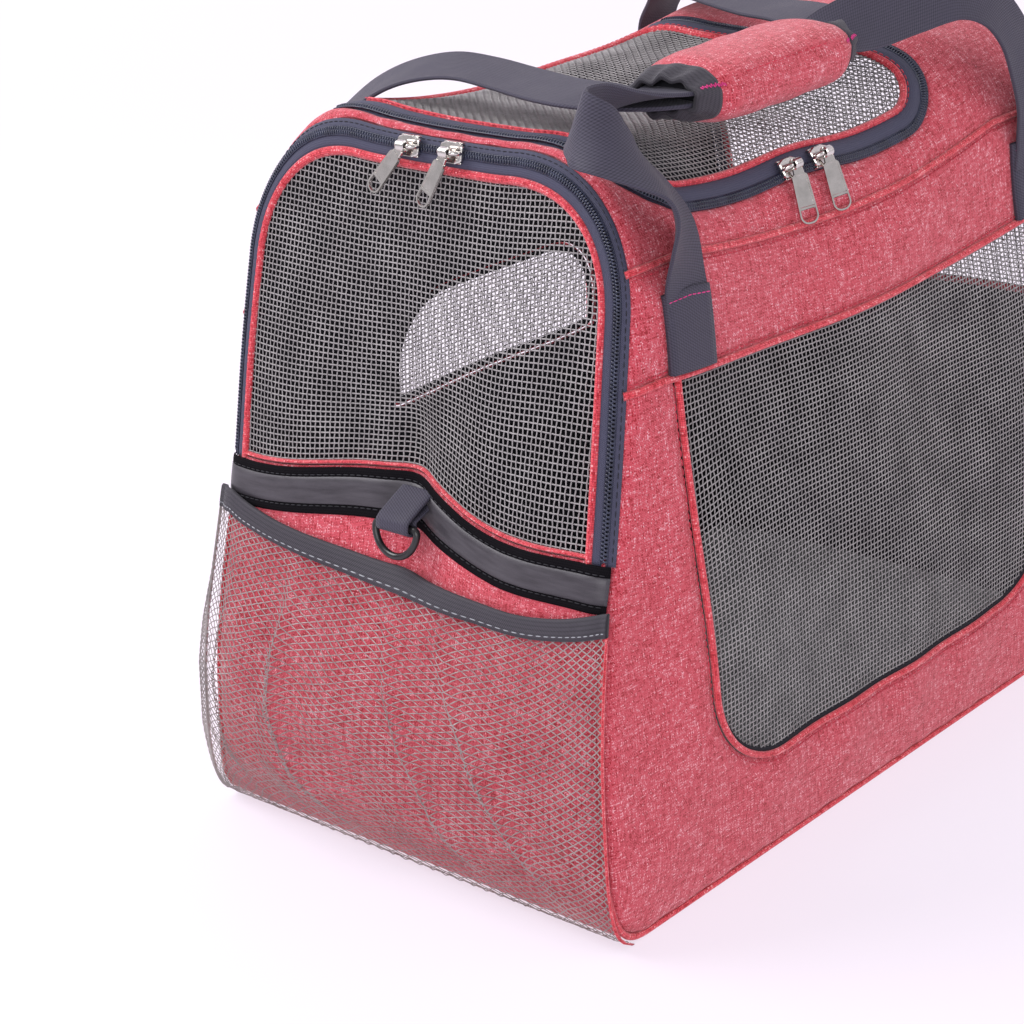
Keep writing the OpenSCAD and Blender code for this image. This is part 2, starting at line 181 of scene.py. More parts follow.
def end_depth(x, z):
    """How deep a point of a side lies inside the side view, and the outward normal of the nearest edge."""
    ax = np.abs(x)
    heel_v, belly_v = vec(ax - HEEL_X, z - HEEL_RADIUS), vec(ax - BELLY_X, z - HEEL_RADIUS)
    heel_r, belly_r = (np.linalg.norm(v, axis=-1) for v in (heel_v, belly_v))
    lean_n = np.array([math.cos(LEAN), math.sin(LEAN)])
    top = np.array([BELLY_X + BELLY_RADIUS * math.cos(LEAN), BELLY_TOP])
    depth = np.where(
        z < HEEL_RADIUS,
        np.where(ax > HEEL_X, HEEL_RADIUS - heel_r, z),
        BELLY_RADIUS - belly_r,
    )
    normal = np.where(
        (z < HEEL_RADIUS)[..., None],
        np.where((ax > HEEL_X)[..., None], unit(heel_v), np.array([0.0, -1.0])),
        unit(belly_v),
    )
    leaning = np.arctan2(belly_v[..., 1], belly_v[..., 0]) > LEAN
    depth = np.where(leaning, (top - vec(ax, z)) @ lean_n, depth)
    normal = np.where(leaning[..., None], lean_n, normal)
    return depth, vec(normal[..., 0] * np.sign(x), 0 * z, normal[..., 1])


def rounded_edge(tube_n, end_n, edge, t, radius):
    """A point past a body edge, over the end where t is above 0 and back where it is below, and its normal."""
    k = (tube_n * end_n).sum(-1, keepdims=True)
    along_tube, along_end = unit(end_n - k * tube_n), unit(tube_n - k * end_n)
    t, radius = t[..., None], radius[..., None]
    w = np.clip((radius + t) / (2 * radius), 0, 1)
    curve = (
        edge - (1 - w) ** 2 * radius * along_tube - w**2 * radius * along_end
    )
    place = np.where(
        t > radius,
        edge - along_end * t,
        np.where(t < -radius, edge + along_tube * t, curve),
    )
    return place, unit((1 - w) * tube_n + w * end_n)


def way_to_edge(place, n, other_n, depth):
    """Distance over a surface from a point to the edge where the other surface starts, and that edge."""
    ahead = other_n - (n * other_n).sum(-1, keepdims=True) * n
    length = np.maximum(np.linalg.norm(ahead, axis=-1, keepdims=True), 1e-9)
    t = depth / length[..., 0]
    return t, place + ahead / length * t[..., None]


def corner_radius(z):
    return BASE_CORNER + (CORNER - BASE_CORNER) * smooth(10, 60, z)


def tube(x, p, h):
    """The sides and top: x along the bag, p round the cross-section, h out of the surface."""
    x, p, h = np.broadcast_arrays(*[np.asarray(k, float) for k in (x, p, h)])
    y, z, n = cross_curve(p)
    depth, end_n = end_depth(x, z)
    place = vec(x, y, z)
    t, edge = way_to_edge(place, n, end_n, depth)
    place, n = rounded_edge(n, end_n, edge, -t, corner_radius(z))
    return warp(place + n * h[..., None])


def end(side):
    """The front or rear end: y across, s up from the floor, h out of the surface."""

    def surface(y, s, h):
        y, s, h = np.broadcast_arrays(*[np.asarray(k, float) for k in (y, s, h)])
        x, z, angle = end_curve(s)
        n = vec(side * np.cos(angle), 0 * s, np.sin(angle))
        place = vec(side * x, y, z)
        over = np.abs(y) > SHOULDER_Y
        v = vec(np.abs(y) - SHOULDER_Y, z - SHOULDER_Z)
        r = np.linalg.norm(v, axis=-1)
        top = z > SHOULDER_Z
        depth = np.where(
            top,
            np.where(over, SHOULDER_RADIUS - r, CROWN_Z - z),
            HALF_WIDTH - SIDE_TAPER * z - np.abs(y),
        )
        tube_n = np.where(
            top[..., None],
            np.where(over[..., None], unit(v), np.array([0.0, 1.0])),
            np.array([1.0, 0.0]),
        )
        tube_n = vec(0 * s, tube_n[..., 0] * np.sign(y), tube_n[..., 1])
        t, edge = way_to_edge(place, n, tube_n, depth)
        place, n = rounded_edge(tube_n, n, edge, t, corner_radius(z))
        return warp(place + n * h[..., None])

    return surface


def edge_of(side):
    """The rounded edge of an end: p along the edge, t from it over the end, h out of the surface."""

    def surface(p, t, h):
        p, t, h = np.broadcast_arrays(*[np.asarray(k, float) for k in (p, t, h)])
        y, z, tube_n = cross_curve(p)
        x, _, angle = end_curve(end_length(z))
        end_n = vec(side * np.cos(angle), 0 * p, np.sin(angle))
        place, n = rounded_edge(tube_n, end_n, vec(side * x, y, z), t, corner_radius(z))
        return warp(place + n * h[..., None])

    return surface


# ------------------------------------------------------------------ how the soft body hangs
def bell(x, centre, width):
    return np.exp(-(((x - centre) / width) ** 2))


def warp(place):
    """Sag, folds and bulges that every sewn piece shares, so that seams stay together."""
    x, y, z = place[..., 0], place[..., 1], place[..., 2]
    body, high = smooth(150, 270, z), smooth(235, 270, z)
    along = np.clip(np.abs(x - 5 + 15 * high) / (150 - 35 * high), 0, 1)
    sag = 11 * (1 - along**2) - 4 * smooth(30, 90, np.abs(y))
    zip_hold = bell(x, -31, 34) * smooth(276, 288, z) * smooth(60, 92, -y)
    dz = -body * (sag * (1 - 0.35 * smooth(0, 90, y)) - 4.6 * zip_hold)
    corner = bell(x, -135, 30) * bell(y, 75, 45)
    dz = dz + 4 * corner * smooth(280, 320, z)
    dz = dz + 1.6 * np.sin(x / 17 + y / 40) * smooth(296, 318, z) * bell(y, 10, 60) * bell(x, 0, 110)

    side = smooth(60, 100, np.abs(y)) * np.sign(y)
    tall = np.sin(np.pi * np.clip(z / 265, 0, 1))
    belly = 6.5 * tall * np.cos(np.pi * np.clip(x / 420, -0.5, 0.5))
    folds = 1.5 * np.sin(x / 19 + 0.012 * z) + 1.1 * np.sin(x / 31 - z / 45 + 1.2)
    low_puckers = 0.9 * np.sin(x / 9.5 + 1.2 * np.sin(x / 47)) * bell(z, 32, 22)
    pull = 2.6 * np.sin(x / 24 + 0.6) * bell(z, 250, 26)
    dy = side * (belly + folds * tall * smooth(10, 90, z) + low_puckers + pull * 0.7)

    front = smooth(95, 150, -x)
    rear = smooth(95, 150, x)
    hollow = 7.5 * bell(y, 12, 46) * bell(z, 172, 62) + 5 * bell(
        y - 0.12 * (z - 165), 2, 11
    ) * bell(z, 178, 48)
    swell = 4.5 * bell(y, 66, 30) * bell(z, 205, 60) + 4 * bell(y, -62, 26) * bell(z, 190, 50)
    ripple = 1.3 * np.sin(y / 8.5 + z / 34) * bell(z, 195, 45) * bell(y, -45, 48)
    crumple = 1.5 * np.sin(y / 13 + z / 29) * np.sin(z / 21 + 0.4) * bell(z, 75, 50)
    inner = smooth(0, 22, half_width(z) - np.abs(y))
    dx = front * inner * (hollow - swell - ripple - crumple - 3.0 * bell(z, 60, 55))
    back = 5 * bell(y, -8, 55) * bell(z, 180, 60) - 3 * bell(z, 70, 60) + 1.4 * np.sin(
        y / 12 - z / 40
    ) * bell(z, 190, 60)
    dx = dx - rear * inner * back
    lift = 14 * smooth(-60, 12, y) - 9 * smooth(10, 100, y) - 7
    dz = dz + front * lift * bell(z, 168, 40) * smooth(60, 110, z)
    floor = smooth(1, 30, z)
    heel = 15 * np.clip(1 - z / HEEL_RADIUS, 0, 1) ** 2.2 * smooth(120, HEEL_X, np.abs(x)) * np.sign(x)
    return place + vec(dx * floor + heel, dy * floor, dz * floor)


# ------------------------------------------------------------------ mesh building
def circle(count):
    return np.linspace(0, 2 * math.pi, count, endpoint=False)


def lengths(points, closed=False):
    """Length along a row of points from its start; closed adds the way back to the first one."""
    points = np.vstack([points, points[:1]]) if closed else points
    steps = np.linalg.norm(np.diff(points, axis=0), axis=1)
    return np.concatenate([[0], np.cumsum(steps)])


class Parts:
    """Collects vertices, faces and the UV map of one piece."""

    def __init__(self):
        self.points, self.loops, self.sizes, self.uvs, self.slots = [], [], [], [], []
        self.count = 0

    def add(self, points, faces, uv, slot=0):
        """Faces are rows of vertex indices, and uv has one row for each vertex or each face corner."""
        points = np.asarray(points, float).reshape(-1, 3)
        faces = np.asarray(faces)
        uv = np.asarray(uv, float)
        if uv.shape[0] == len(points) and uv.ndim == 2:
            uv = uv[faces]
        self.points.append(points)
        self.loops.append(faces.ravel() + self.count)
        self.sizes.append(np.full(len(faces), faces.shape[1]))
        self.uvs.append(uv.reshape(-1, 2))
        slot = np.broadcast_to(slot, len(faces))
        self.slots.append(slot)
        self.count += len(points)
        return self

    def cap(self, faces, slot=0):
        """Adds faces over vertices that are here already, without a UV map."""
        faces = np.asarray(faces)
        self.loops.append(faces.ravel())
        self.sizes.append(np.full(len(faces), faces.shape[1]))
        self.uvs.append(np.zeros((faces.size, 2)))
        self.slots.append(np.full(len(faces), slot))

    def grid(self, place, u, v, slot=0, wrap=False, flip=False, close=False):
        """Quads over place (n, m, 3); u and v are in millimetres, with one more column if they wrap."""
        n, m = place.shape[:2]
        cols = m if wrap else m - 1
        rows = n if close else n - 1
        i, j = np.meshgrid(np.arange(rows), np.arange(cols), indexing="ij")
        i1, j1 = (i + 1) % n, (j + 1) % m
        quads = np.stack([i * m + j, i1 * m + j, i1 * m + j1, i * m + j1], -1)
        u, v = np.broadcast_arrays(np.asarray(u, float), np.asarray(v, float))
        if close and u.shape[0] == n:
            u, v = (np.concatenate([k, k[:1]]) for k in (u, v))
        if wrap and u.shape[1] == m:
            u, v = (np.concatenate([k, k[:, :1]], 1) for k in (u, v))
        uv = np.stack([u, v], -1)
        corners = np.stack([uv[i, j], uv[i + 1, j], uv[i + 1, j + 1], uv[i, j + 1]], -2)
        if np.ndim(slot) == 2:
            slot = np.asarray(slot)[i, j].ravel()
        quads, corners = quads.reshape(-1, 4), corners.reshape(-1, 4, 2)
        if flip:
            quads, corners = quads[:, ::-1], corners[:, ::-1]
        return self.add(place, quads, corners, slot)

    def merge(self, other):
        """Adds another collection to this one."""
        self.points += other.points
        self.loops += [k + self.count for k in other.loops]
        self.sizes += other.sizes
        self.uvs += other.uvs
        self.slots += other.slots
        self.count += other.count
        return self

    def moved(self, origin, across, up, out):
        """Turns pieces made in a local frame into the frame of the bag."""
        self.points = [k @ np.array([across, up, out], float) + origin for k in self.points]
        return self

    def mesh(self, name):
        points = np.concatenate(self.points) * MM
        loops, sizes = np.concatenate(self.loops), np.concatenate(self.sizes)
        mesh = bpy.data.meshes.new(name)
        mesh.vertices.add(len(points))
        mesh.vertices.foreach_set("co", points.astype(np.float32).ravel())
        mesh.loops.add(len(loops))
        mesh.loops.foreach_set("vertex_index", loops.astype(np.int32))
        mesh.polygons.add(len(sizes))
        starts = np.concatenate([[0], np.cumsum(sizes)[:-1]])
        mesh.polygons.foreach_set("loop_start", starts.astype(np.int32))
        mesh.polygons.foreach_set("loop_total", sizes.astype(np.int32))
        mesh.polygons.foreach_set(
            "material_index", np.concatenate(self.slots).astype(np.int32)
        )
        mesh.polygons.foreach_set("use_smooth", np.ones(len(sizes), bool))
        layer = mesh.uv_layers.new(name="cloth")
        layer.data.foreach_set(
            "uv", (np.concatenate(self.uvs) * MM).astype(np.float32).ravel()
        )
        mesh.update(calc_edges=True)
        mesh.validate()
        return mesh


def piece(name, parts, materials, body, node=None, slot=None, crease=None, solid=False):
    """Makes the Blender object, puts it on its body and hides the CAD node that it stands for."""
    made = bpy.data.objects.new(name, parts.mesh(name))
    bpy.context.scene.collection.objects.link(made)
    if solid:
        whole = bmesh.new()
        whole.from_mesh(made.data)
        bmesh.ops.recalc_face_normals(whole, faces=whole.faces)
        whole.to_mesh(made.data)
        whole.free()
    for material in materials if isinstance(materials, list) else [materials]:
        made.data.materials.append(material)
    if crease is not None:
        made.data.set_sharp_from_angle(angle=math.radians(crease))
    if body is not None:
        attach(made, body)
    if node:
        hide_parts(node)
    slot or SLOT_OF[node]
    return made


def sweep(parts, place, u, v, slot=0, closed=False):
    """A tube through place (stations, profile, 3), with its ends filled unless it is a closed loop."""
    n, m = place.shape[:2]
    first = np.arange(m) + parts.count
    parts.grid(place, u, v, slot, wrap=True, close=closed)
    if not closed:
        parts.cap([first], slot)
        parts.cap([(first + (n - 1) * m)[::-1]], slot)
    return parts


def band(parts, surface, stations, profile, slot=0, closed=False):
    """Sweeps a profile of (across, out) points along a line, placed by surface(station, across, out)."""
    profile = np.asarray(profile, float)
    round_it = lengths(profile, True)
    s = np.asarray(stations, float)[:, None]
    place = surface(s, profile[None, :, 0], profile[None, :, 1])
    u = np.broadcast_to(s, (len(s), len(profile) + 1))
    v = np.broadcast_to(round_it, (len(s), len(profile) + 1))
    if closed:
        step = stations[1] - stations[0]
        u, v = np.vstack([u, u[-1:] + step]), np.vstack([v, v[-1:]])
    return sweep(parts, place, u, v, slot, closed)


def stamps(parts, surface, stations, shape, faces, slot=0):
    """Copies a small closed shape of (along, across, out) points to each station of a line."""
    shape, faces = np.asarray(shape, float), np.asarray(faces)
    s = np.asarray(stations, float)[:, None]
    place = surface(s + shape[None, :, 0], 0 * s + shape[None, :, 1], 0 * s + shape[None, :, 2])
    copies = np.arange(len(s))[:, None, None] * len(shape)
    uv = np.stack([s + shape[None, :, 0], 0 * s + shape[None, :, 1]], -1)
    return parts.add(place, (faces[None] + copies).reshape(-1, faces.shape[1]), uv.reshape(-1, 2), slot)


def bar(length, width, height):
    """A stitch: a six-sided bar with raised middle, and its faces."""
    shape = []
    for along, w, h in ((-0.5, 0.6, 0.35), (-0.25, 1, 1), (0.25, 1, 1), (0.5, 0.6, 0.35)):
        for across, out in ((-0.5, 0), (-0.3, 0.8), (0.3, 0.8), (0.5, 0)):
            shape.append([along * length, across * w * width, out * h * height])
    faces = []
    for k in range(3):
        for j in range(4):
            a, b = 4 * k + j, 4 * k + (j + 1) % 4
            faces.append([a, b, b + 4, a + 4])
    faces += [[3, 2, 1, 0], [12, 13, 14, 15]]
    return shape, faces


def flat_profile(left, right, low, high, edge=0.5, rise=0.0, columns=4):
    """A tape's closed section from left to right, with eased edges and a raised middle."""
    across = np.linspace(left + edge, right - edge, columns)
    lift = rise * np.sin(np.pi * np.linspace(0, 1, columns))
    top = [(a, high + k) for a, k in zip(across, lift)]
    under = [(a, low) for a in across[::-1]]
    middle = (low + high) / 2
    return [(left, middle)] + top + [(right, middle)] + under


def round_profile(across, out, radius, count=8):
    turn = circle(count)[::-1]
    return np.stack([across + radius * np.cos(-turn), out + radius * np.sin(turn)], -1)


def trail(parts, path, normal, section, closed=False):
    """Sweeps a section of (side, out) points along a path in space; normal points out at each place."""
    path, section = np.asarray(path, float), np.asarray(section, float)
    ahead = np.roll(path, -1, axis=0) - np.roll(path, 1, axis=0)
    if not closed:
        ahead = np.gradient(path, axis=0)
    ahead = unit(ahead)
    normal = np.broadcast_to(np.asarray(normal, float), path.shape)
    normal = unit(normal - (normal * ahead).sum(-1, keepdims=True) * ahead)
    sideways = np.cross(ahead, normal)
    across, out = section[None, :, :1], section[None, :, 1:]
    place = path[:, None] + across * sideways[:, None] + out * normal[:, None]
    length, round_it = lengths(path, closed), lengths(section, True)
    u = np.broadcast_to(length[:, None], (len(length), len(round_it)))
    v = np.broadcast_to(round_it[None], u.shape)
    return sweep(parts, place, u, v, 0, closed)


def ellipse(across, out, turn=circle(12)):
    return np.stack([across * np.cos(turn), out * np.sin(turn)], -1)


def slab(parts, outline, low, high, edge):
    """A plate with eased edges: an outline of (x, y) points between two heights."""
    outline = np.asarray(outline, float)
    ahead = unit(np.roll(outline, -1, axis=0) - np.roll(outline, 1, axis=0))
    turns = np.sum(outline[:, 0] * np.roll(outline[:, 1], -1) - np.roll(outline[:, 0], -1) * outline[:, 1])
    inward = np.stack([-ahead[:, 1], ahead[:, 0]], -1) * np.sign(turns)
    eased = outline + inward * edge
    rows = [(eased, low), (outline, low + edge), (outline, high - edge), (eased, high)]
    place = np.stack([np.column_stack([row, np.full(len(row), z)]) for row, z in rows])
    return sweep(parts, place, place[..., :1], place[..., 1:2])


def flowing(keys, step=3.0):
    """A smooth line through key rows, of which the first three numbers are a place."""
    keys = np.asarray(keys, float)
    ends = np.vstack([2 * keys[0] - keys[1], keys, 2 * keys[-1] - keys[-2]])
    rows = []
    for a, b, c, d in zip(ends, ends[1:], ends[2:], ends[3:]):
        t = np.linspace(0, 1, max(2, int(np.linalg.norm((c - b)[:3]) / step)), endpoint=False)[:, None]
        square, cube = 2 * a - 5 * b + 4 * c - d, 3 * b - a - 3 * c + d
        rows.append(b + 0.5 * ((c - a) * t + square * t**2 + cube * t**3))
    return np.vstack(rows + [keys[-1:]])


class Course:
    """A line drawn on a surface, followed by length: course(station, across, out)."""

    def __init__(self, points, surface, closed=False):
        points = np.asarray(points, float)
        points = np.vstack([points, points[:1]]) if closed else points
        self.at, self.points, self.surface, self.closed = lengths(points), points, surface, closed
        self.length = self.at[-1]
        along = unit(np.gradient(points, self.at, axis=0))
        if closed:
            along[0] = along[-1] = unit(along[0] + along[-1])
        self.sideways = np.stack([along[:, 1], -along[:, 0]], -1)

    def flat(self, s, across):
        s = np.mod(s, self.length) if self.closed else s
        u, v = (np.interp(s, self.at, self.points[:, k]) for k in (0, 1))
        nu, nv = (np.interp(s, self.at, self.sideways[:, k]) for k in (0, 1))
        return u + across * nu, v + across * nv

    def __call__(self, s, across, out):
        u, v = self.flat(s, across)
        return self.surface(u, v, out)

    def stations(self, step):
        count = max(2, int(round(self.length / step)))
        if self.closed:
            return np.arange(count) * self.length / count
        return np.linspace(0, self.length, count + 1)


def rounded(corners, radii, step=2.0, closed=True):
    """Points along a polygon whose corners are rounded."""
    corners = [np.array(c, float) for c in corners]
    count, points = len(corners), []
    for k in range(count):
        c, r = corners[k], radii[k] if np.ndim(radii) else radii
        if not closed and k in (0, count - 1) or r == 0:
            points.append(c)
            continue
        a, b = unit(corners[k - 1] - c), unit(corners[(k + 1) % count] - c)
        half = math.acos(np.clip(a @ b, -1, 1)) / 2
        reach = r / math.tan(half)
        centre = c + unit(a + b) * r / math.sin(half)
        start, stop = c + a * reach - centre, c + b * reach - centre
        turn = math.atan2(start[0] * stop[1] - start[1] * stop[0], start @ stop)
        steps = max(3, int(abs(turn) * r / step))
        first = math.atan2(start[1], start[0])
        for t in np.linspace(0, turn, steps + 1):
            points.append(centre + r * np.array([math.cos(first + t), math.sin(first + t)]))
    filled = []
    rest = points[1:] + (points[:1] if closed else [])
    for a, b in zip(points, rest):
        pieces = max(1, int(np.linalg.norm(b - a) / step))
        filled += [a + (b - a) * t / pieces for t in range(pieces)]
    if not closed:
        filled.append(points[-1])
    return np.array(filled)


def radial(outline, centre, angles):
    """Where rays from a centre meet an outline that can be seen whole from it."""
    v = np.asarray(outline) - centre
    angle = np.unwrap(np.arctan2(v[:, 1], v[:, 0]))
    radius = np.hypot(v[:, 0], v[:, 1])
    if angle[-1] < angle[0]:
        angle, radius = angle[::-1], radius[::-1]
    turns = 2 * math.pi
    whole = np.concatenate([angle - turns, angle, angle + turns])
    radii = np.tile(radius, 3)
    order = np.argsort(whole)
    r = np.interp(angles, whole[order], radii[order])
    return centre + r[:, None] * np.stack([np.cos(angles), np.sin(angles)], -1)


def pillow(edge_distance, high=0.7, low=-1.3):
    """Height of a padded panel near its seams: sunk at the seam, full a little way in."""
    return low + (high - low) * (1 - np.exp(-np.maximum(edge_distance, 0) / 4.5))


def puckers(u, v, edge_distance):
    """Small creases that the seams draw into the fabric."""
    near = 0.35 * np.exp(-edge_distance / 9)
    return near * (np.sin(u / 3.1 + 2 * np.sin(v / 23)) * np.sin(v / 3.7 + 1.7 * np.sin(u / 29)))


LEFT, RIGHT, FIRST, LAST = (slice(None), 0), (slice(None), -1), 0, -1


def sheet(parts, surface, u, v, h, thickness, rims, wrap=False, flip=False):
    """A closed panel: its face at height h, its lining at -thickness, and rims as (edge, flipped)."""
    face, lining = surface(u, v, h), surface(u, v, 0 * h - thickness)
    parts.grid(face, u, v, 0, close=wrap, flip=flip)
    parts.grid(lining, u, v, 1, close=wrap, flip=not flip)
    for edge, flipped in rims:
        rim = np.stack([face[edge], lining[edge]], 1)
        round_it = np.stack([v[edge], v[edge] + thickness], 1)
        parts.grid(rim, np.stack([u[edge]] * 2, 1), round_it, 0, close=wrap, flip=flipped)
    return parts


def panel(surface, u, v, distance, wrap=False):
    """A padded panel over the points (u, v); distance is from each point to its nearest seam."""
    rims = [(LEFT, True), (RIGHT, False)] + ([] if wrap else [(FIRST, False), (LAST, True)])
    h = pillow(distance) + puckers(u, v, distance)
    return sheet(Parts(), surface, u, v, h, 3.2, rims, wrap)


def span(low, high, step):
    return np.linspace(low, high, max(2, int(round(abs(high - low) / step)) + 1))


def crossings(outline, at, axis):
    """The lowest and highest point where a straight line crosses a convex outline."""
    a, b = outline, np.roll(outline, -1, axis=0)
    ca, cb = a[:, axis], b[:, axis]
    hit = (ca - at) * (cb - at) < 0
    if not hit.any():
        return None
    t = (at - ca[hit]) / (cb[hit] - ca[hit])
    other = a[hit, 1 - axis] + t * (b[hit, 1 - axis] - a[hit, 1 - axis])
    return other.min(), other.max()


def threads(parts, surface, lines, width, thick):
    """Round threads; each line is a row of (u, v, out) points on the surface."""
    counts = [len(k) for k in lines]
    flat = np.concatenate(lines)
    along = np.concatenate([np.gradient(k[:, :2], axis=0) for k in lines])
    along = along / np.maximum(np.linalg.norm(along, axis=1, keepdims=True), 1e-9)
    reach = 0.5
    u, v, h = flat.T
    middle = surface(u, v, h)
    beside = surface(u + along[:, 1] * reach, v - along[:, 0] * reach, h) - middle
    above = unit(surface(u, v, h + reach) - middle)
    beside = unit(beside)
    out, up = beside * width / 2, above * thick / 2
    ring = np.stack([middle + out, middle + up, middle - out, middle - up], 1)
    first = np.concatenate([[0], np.cumsum(counts)[:-1]])
    start = np.concatenate([f + np.arange(c - 1) for f, c in zip(first, counts)])
    j = np.arange(4)
    a = start[:, None] * 4 + j
    b = start[:, None] * 4 + (j + 1) % 4
    faces = np.stack([a, b, b + 4, a + 4], -1).reshape(-1, 4)
    uv = np.repeat(np.stack([u, v], -1), 4, axis=0)
    parts.add(ring.reshape(-1, 3), faces, uv)
    last = first + np.array(counts) - 1
    caps = np.concatenate([first[:, None] * 4 + j[::-1], last[:, None] * 4 + j])
    parts.cap(caps + parts.count - len(ring) * 4)
    return parts


MESH_PITCH, MESH_WIDTH, MESH_THICK = 2.45, 0.72, 0.5


def woven(surface, outline, depth=-1.4):
    """Open square mesh of real threads inside a convex outline, each going over and under the others."""
    lines, low, high = [], outline.min(0), outline.max(0)
    for axis in (0, 1):
        for k in range(math.ceil((high - low)[axis] / MESH_PITCH) + 1):
            at = low[axis] + (k + 0.5) * MESH_PITCH
            found = crossings(outline, at, axis)
            if found is None or found[1] - found[0] < MESH_PITCH:
                continue
            start = low[1 - axis]
            first, last = ((end_at - start) / MESH_PITCH - 0.5 for end_at in found)
            cells = np.arange(math.ceil(first), math.floor(last) + 1)
            other = np.concatenate([found[:1], start + (cells + 0.5) * MESH_PITCH, found[1:]])
            over = np.concatenate([[0], np.where((cells + k + axis) % 2, 1.0, -1.0), [0]])
            line = np.zeros((len(other), 3))
            line[:, axis] = at + 0.12 * np.sin(other / 17 + k * 0.7)
            line[:, 1 - axis] = other
            line[:, 2] = depth + over * MESH_THICK * 0.42
            lines.append(line)
    return threads(Parts(), surface, lines, MESH_WIDTH, MESH_THICK)


# ------------------------------------------------------------------ materials
class Value:
    """A node's output, for plain arithmetic between nodes and numbers."""

    def __init__(self, graph, socket):
        self.graph, self.socket = graph, socket

    def __add__(self, other):
        return self.graph.math("ADD", self, other)

    def __sub__(self, other):
        return self.graph.math("SUBTRACT", self, other)

    def __mul__(self, other):
        return self.graph.math("MULTIPLY", self, other)

    def __truediv__(self, other):
        return self.graph.math("DIVIDE", self, other)

    def __abs__(self):
        return self.graph.math("ABSOLUTE", self)


class Graph:
    """Short way to build a material's nodes."""

    def __init__(self, name):
        self.material = bpy.data.materials.new(name)
        self.material.use_nodes = True
        self.tree = self.material.node_tree
        self.shader = self.tree.nodes["Principled BSDF"]
        self.u, self.v, _ = self.split(self.node("ShaderNodeUVMap", uv_map="cloth").outputs[0])
        self.place = Value(self, self.node("ShaderNodeTexCoord").outputs["Object"])

    def node(self, kind, **settings):
        made = self.tree.nodes.new(kind)
        for key, value in settings.items():
            setattr(made, key, value)
        return made

    def feed(self, socket, value):
        if isinstance(value, Value):
            value = value.socket
        if isinstance(value, bpy.types.NodeSocket):
            self.tree.links.new(value, socket)
        elif value is not None:
            socket.default_value = value

    def made(self, kind, values, **settings):
        """The first output of a new node, whose inputs are filled in order."""
        made = self.node(kind, **settings)
        for socket, value in zip(made.inputs, values):
            self.feed(socket, value)
        return Value(self, made.outputs[0])

    def split(self, vector):
        parts = self.node("ShaderNodeSeparateXYZ")
        self.feed(parts.inputs[0], vector)
        return [Value(self, k) for k in parts.outputs]

    def math(self, operation, *values):
        return self.made("ShaderNodeMath", values, operation=operation)

    def join(self, x, y, z=0.0):
        return self.made("ShaderNodeCombineXYZ", (x, y, z))

    def noise(self, where, scale=1.0, detail=2.0, roughness=0.5):
        made = self.node("ShaderNodeTexNoise")
        names = ("Vector", "Scale", "Detail", "Roughness")
        for key, value in zip(names, (where, scale, detail, roughness)):
            self.feed(made.inputs[key], value)
        return Value(self, made.outputs[0])

    def spread(self, value, low, high, to_low=0.0, to_high=1.0):
        return self.made("ShaderNodeMapRange", (value, low, high, to_low, to_high), clamp=True)

    def ramp(self, value, stops):
        made = self.node("ShaderNodeValToRGB")
        self.feed(made.inputs[0], value)
        marks = made.color_ramp.elements
        for mark, (at, colour) in zip(marks, (stops[0], stops[-1])):
            mark.position, mark.color = at, colour
        for at, colour in stops[1:-1]:
            marks.new(at).color = colour
        return Value(self, made.outputs[0])

    def bump(self, height, distance, strength):
        made = self.node("ShaderNodeBump")
        for key, value in zip(("Strength", "Distance", "Height"), (strength, distance, height)):
            self.feed(made.inputs[key], value)
        self.feed(self.shader.inputs["Normal"], made.outputs[0])

    def finish(self, colour, rough, **plain):
        self.feed(self.shader.inputs["Base Color"], colour)
        self.feed(self.shader.inputs["Roughness"], rough)
        for key, value in plain.items():
            self.shader.inputs[key.replace("_", " ")].default_value = value
        return self.material


def rgb(r, g, b):
    return (r, g, b, 1.0)


def melange(name, deep, middle, pale, pitch=0.00062):
    """Woven polyester of mixed dark and pale yarns: each thread changes colour along its own length."""
    g = Graph(name)
    u, v = g.u, g.v
    warp_id, weft_id = g.math("FLOOR", u / pitch), g.math("FLOOR", v / pitch)
    warp_yarn = g.noise(g.join(warp_id * 7.31, v * 260.0, 3.0), 1.0, 2.0, 0.55)
    weft_yarn = g.noise(g.join(u * 300.0, weft_id * 5.77, 11.0), 1.0, 2.0, 0.55)
    weave = g.math("SINE", u * (math.pi / pitch)) * g.math("SINE", v * (math.pi / pitch))
    height, warp_on_top = abs(weave), g.math("GREATER_THAN", weave, 0.0)
    yarn_tone = g.node("ShaderNodeMix", data_type="FLOAT")
    for socket, value in zip((0, 2, 3), (warp_on_top, weft_yarn, warp_yarn)):
        g.feed(yarn_tone.inputs[socket], value)
    cloud = g.noise(g.join(u, v), 55.0, 3.0, 0.55)
    streak = g.noise(g.join(u * 900.0, v * 70.0))
    slub = g.noise(g.join(u * 80.0, v * 950.0, 5.0))
    value = Value(g, yarn_tone.outputs[0]) + (streak + slub - 1.0) * 0.30 + (cloud - 0.5) * 0.14
    colour = g.ramp(value, [(0.34, deep), (0.47, middle), (0.56, middle), (0.72, pale)])
    # painted shade and highlight of the weave: the colour is darkened in the hollows between threads and lightened
    # on the thread tops
    shade = g.spread(height, 0.0, 0.7, 0.62, 1.06)
    shaded = g.node("ShaderNodeMix", data_type="RGBA", blend_type="MULTIPLY")
    for socket, value in zip((0, 6, 7), (1.0, colour, g.join(shade, shade, shade))):
        g.feed(shaded.inputs[socket], value)
    g.bump(height + cloud * 0.25, 0.00022, 0.55)
    rough = g.spread(streak, 0.2, 0.8, 0.78, 0.92)
    looks = {"Sheen_Weight": 0.22, "Sheen_Roughness": 0.45, "Specular_IOR_Level": 0.28}
    return g.finish(shaded.outputs[2], rough, **looks)


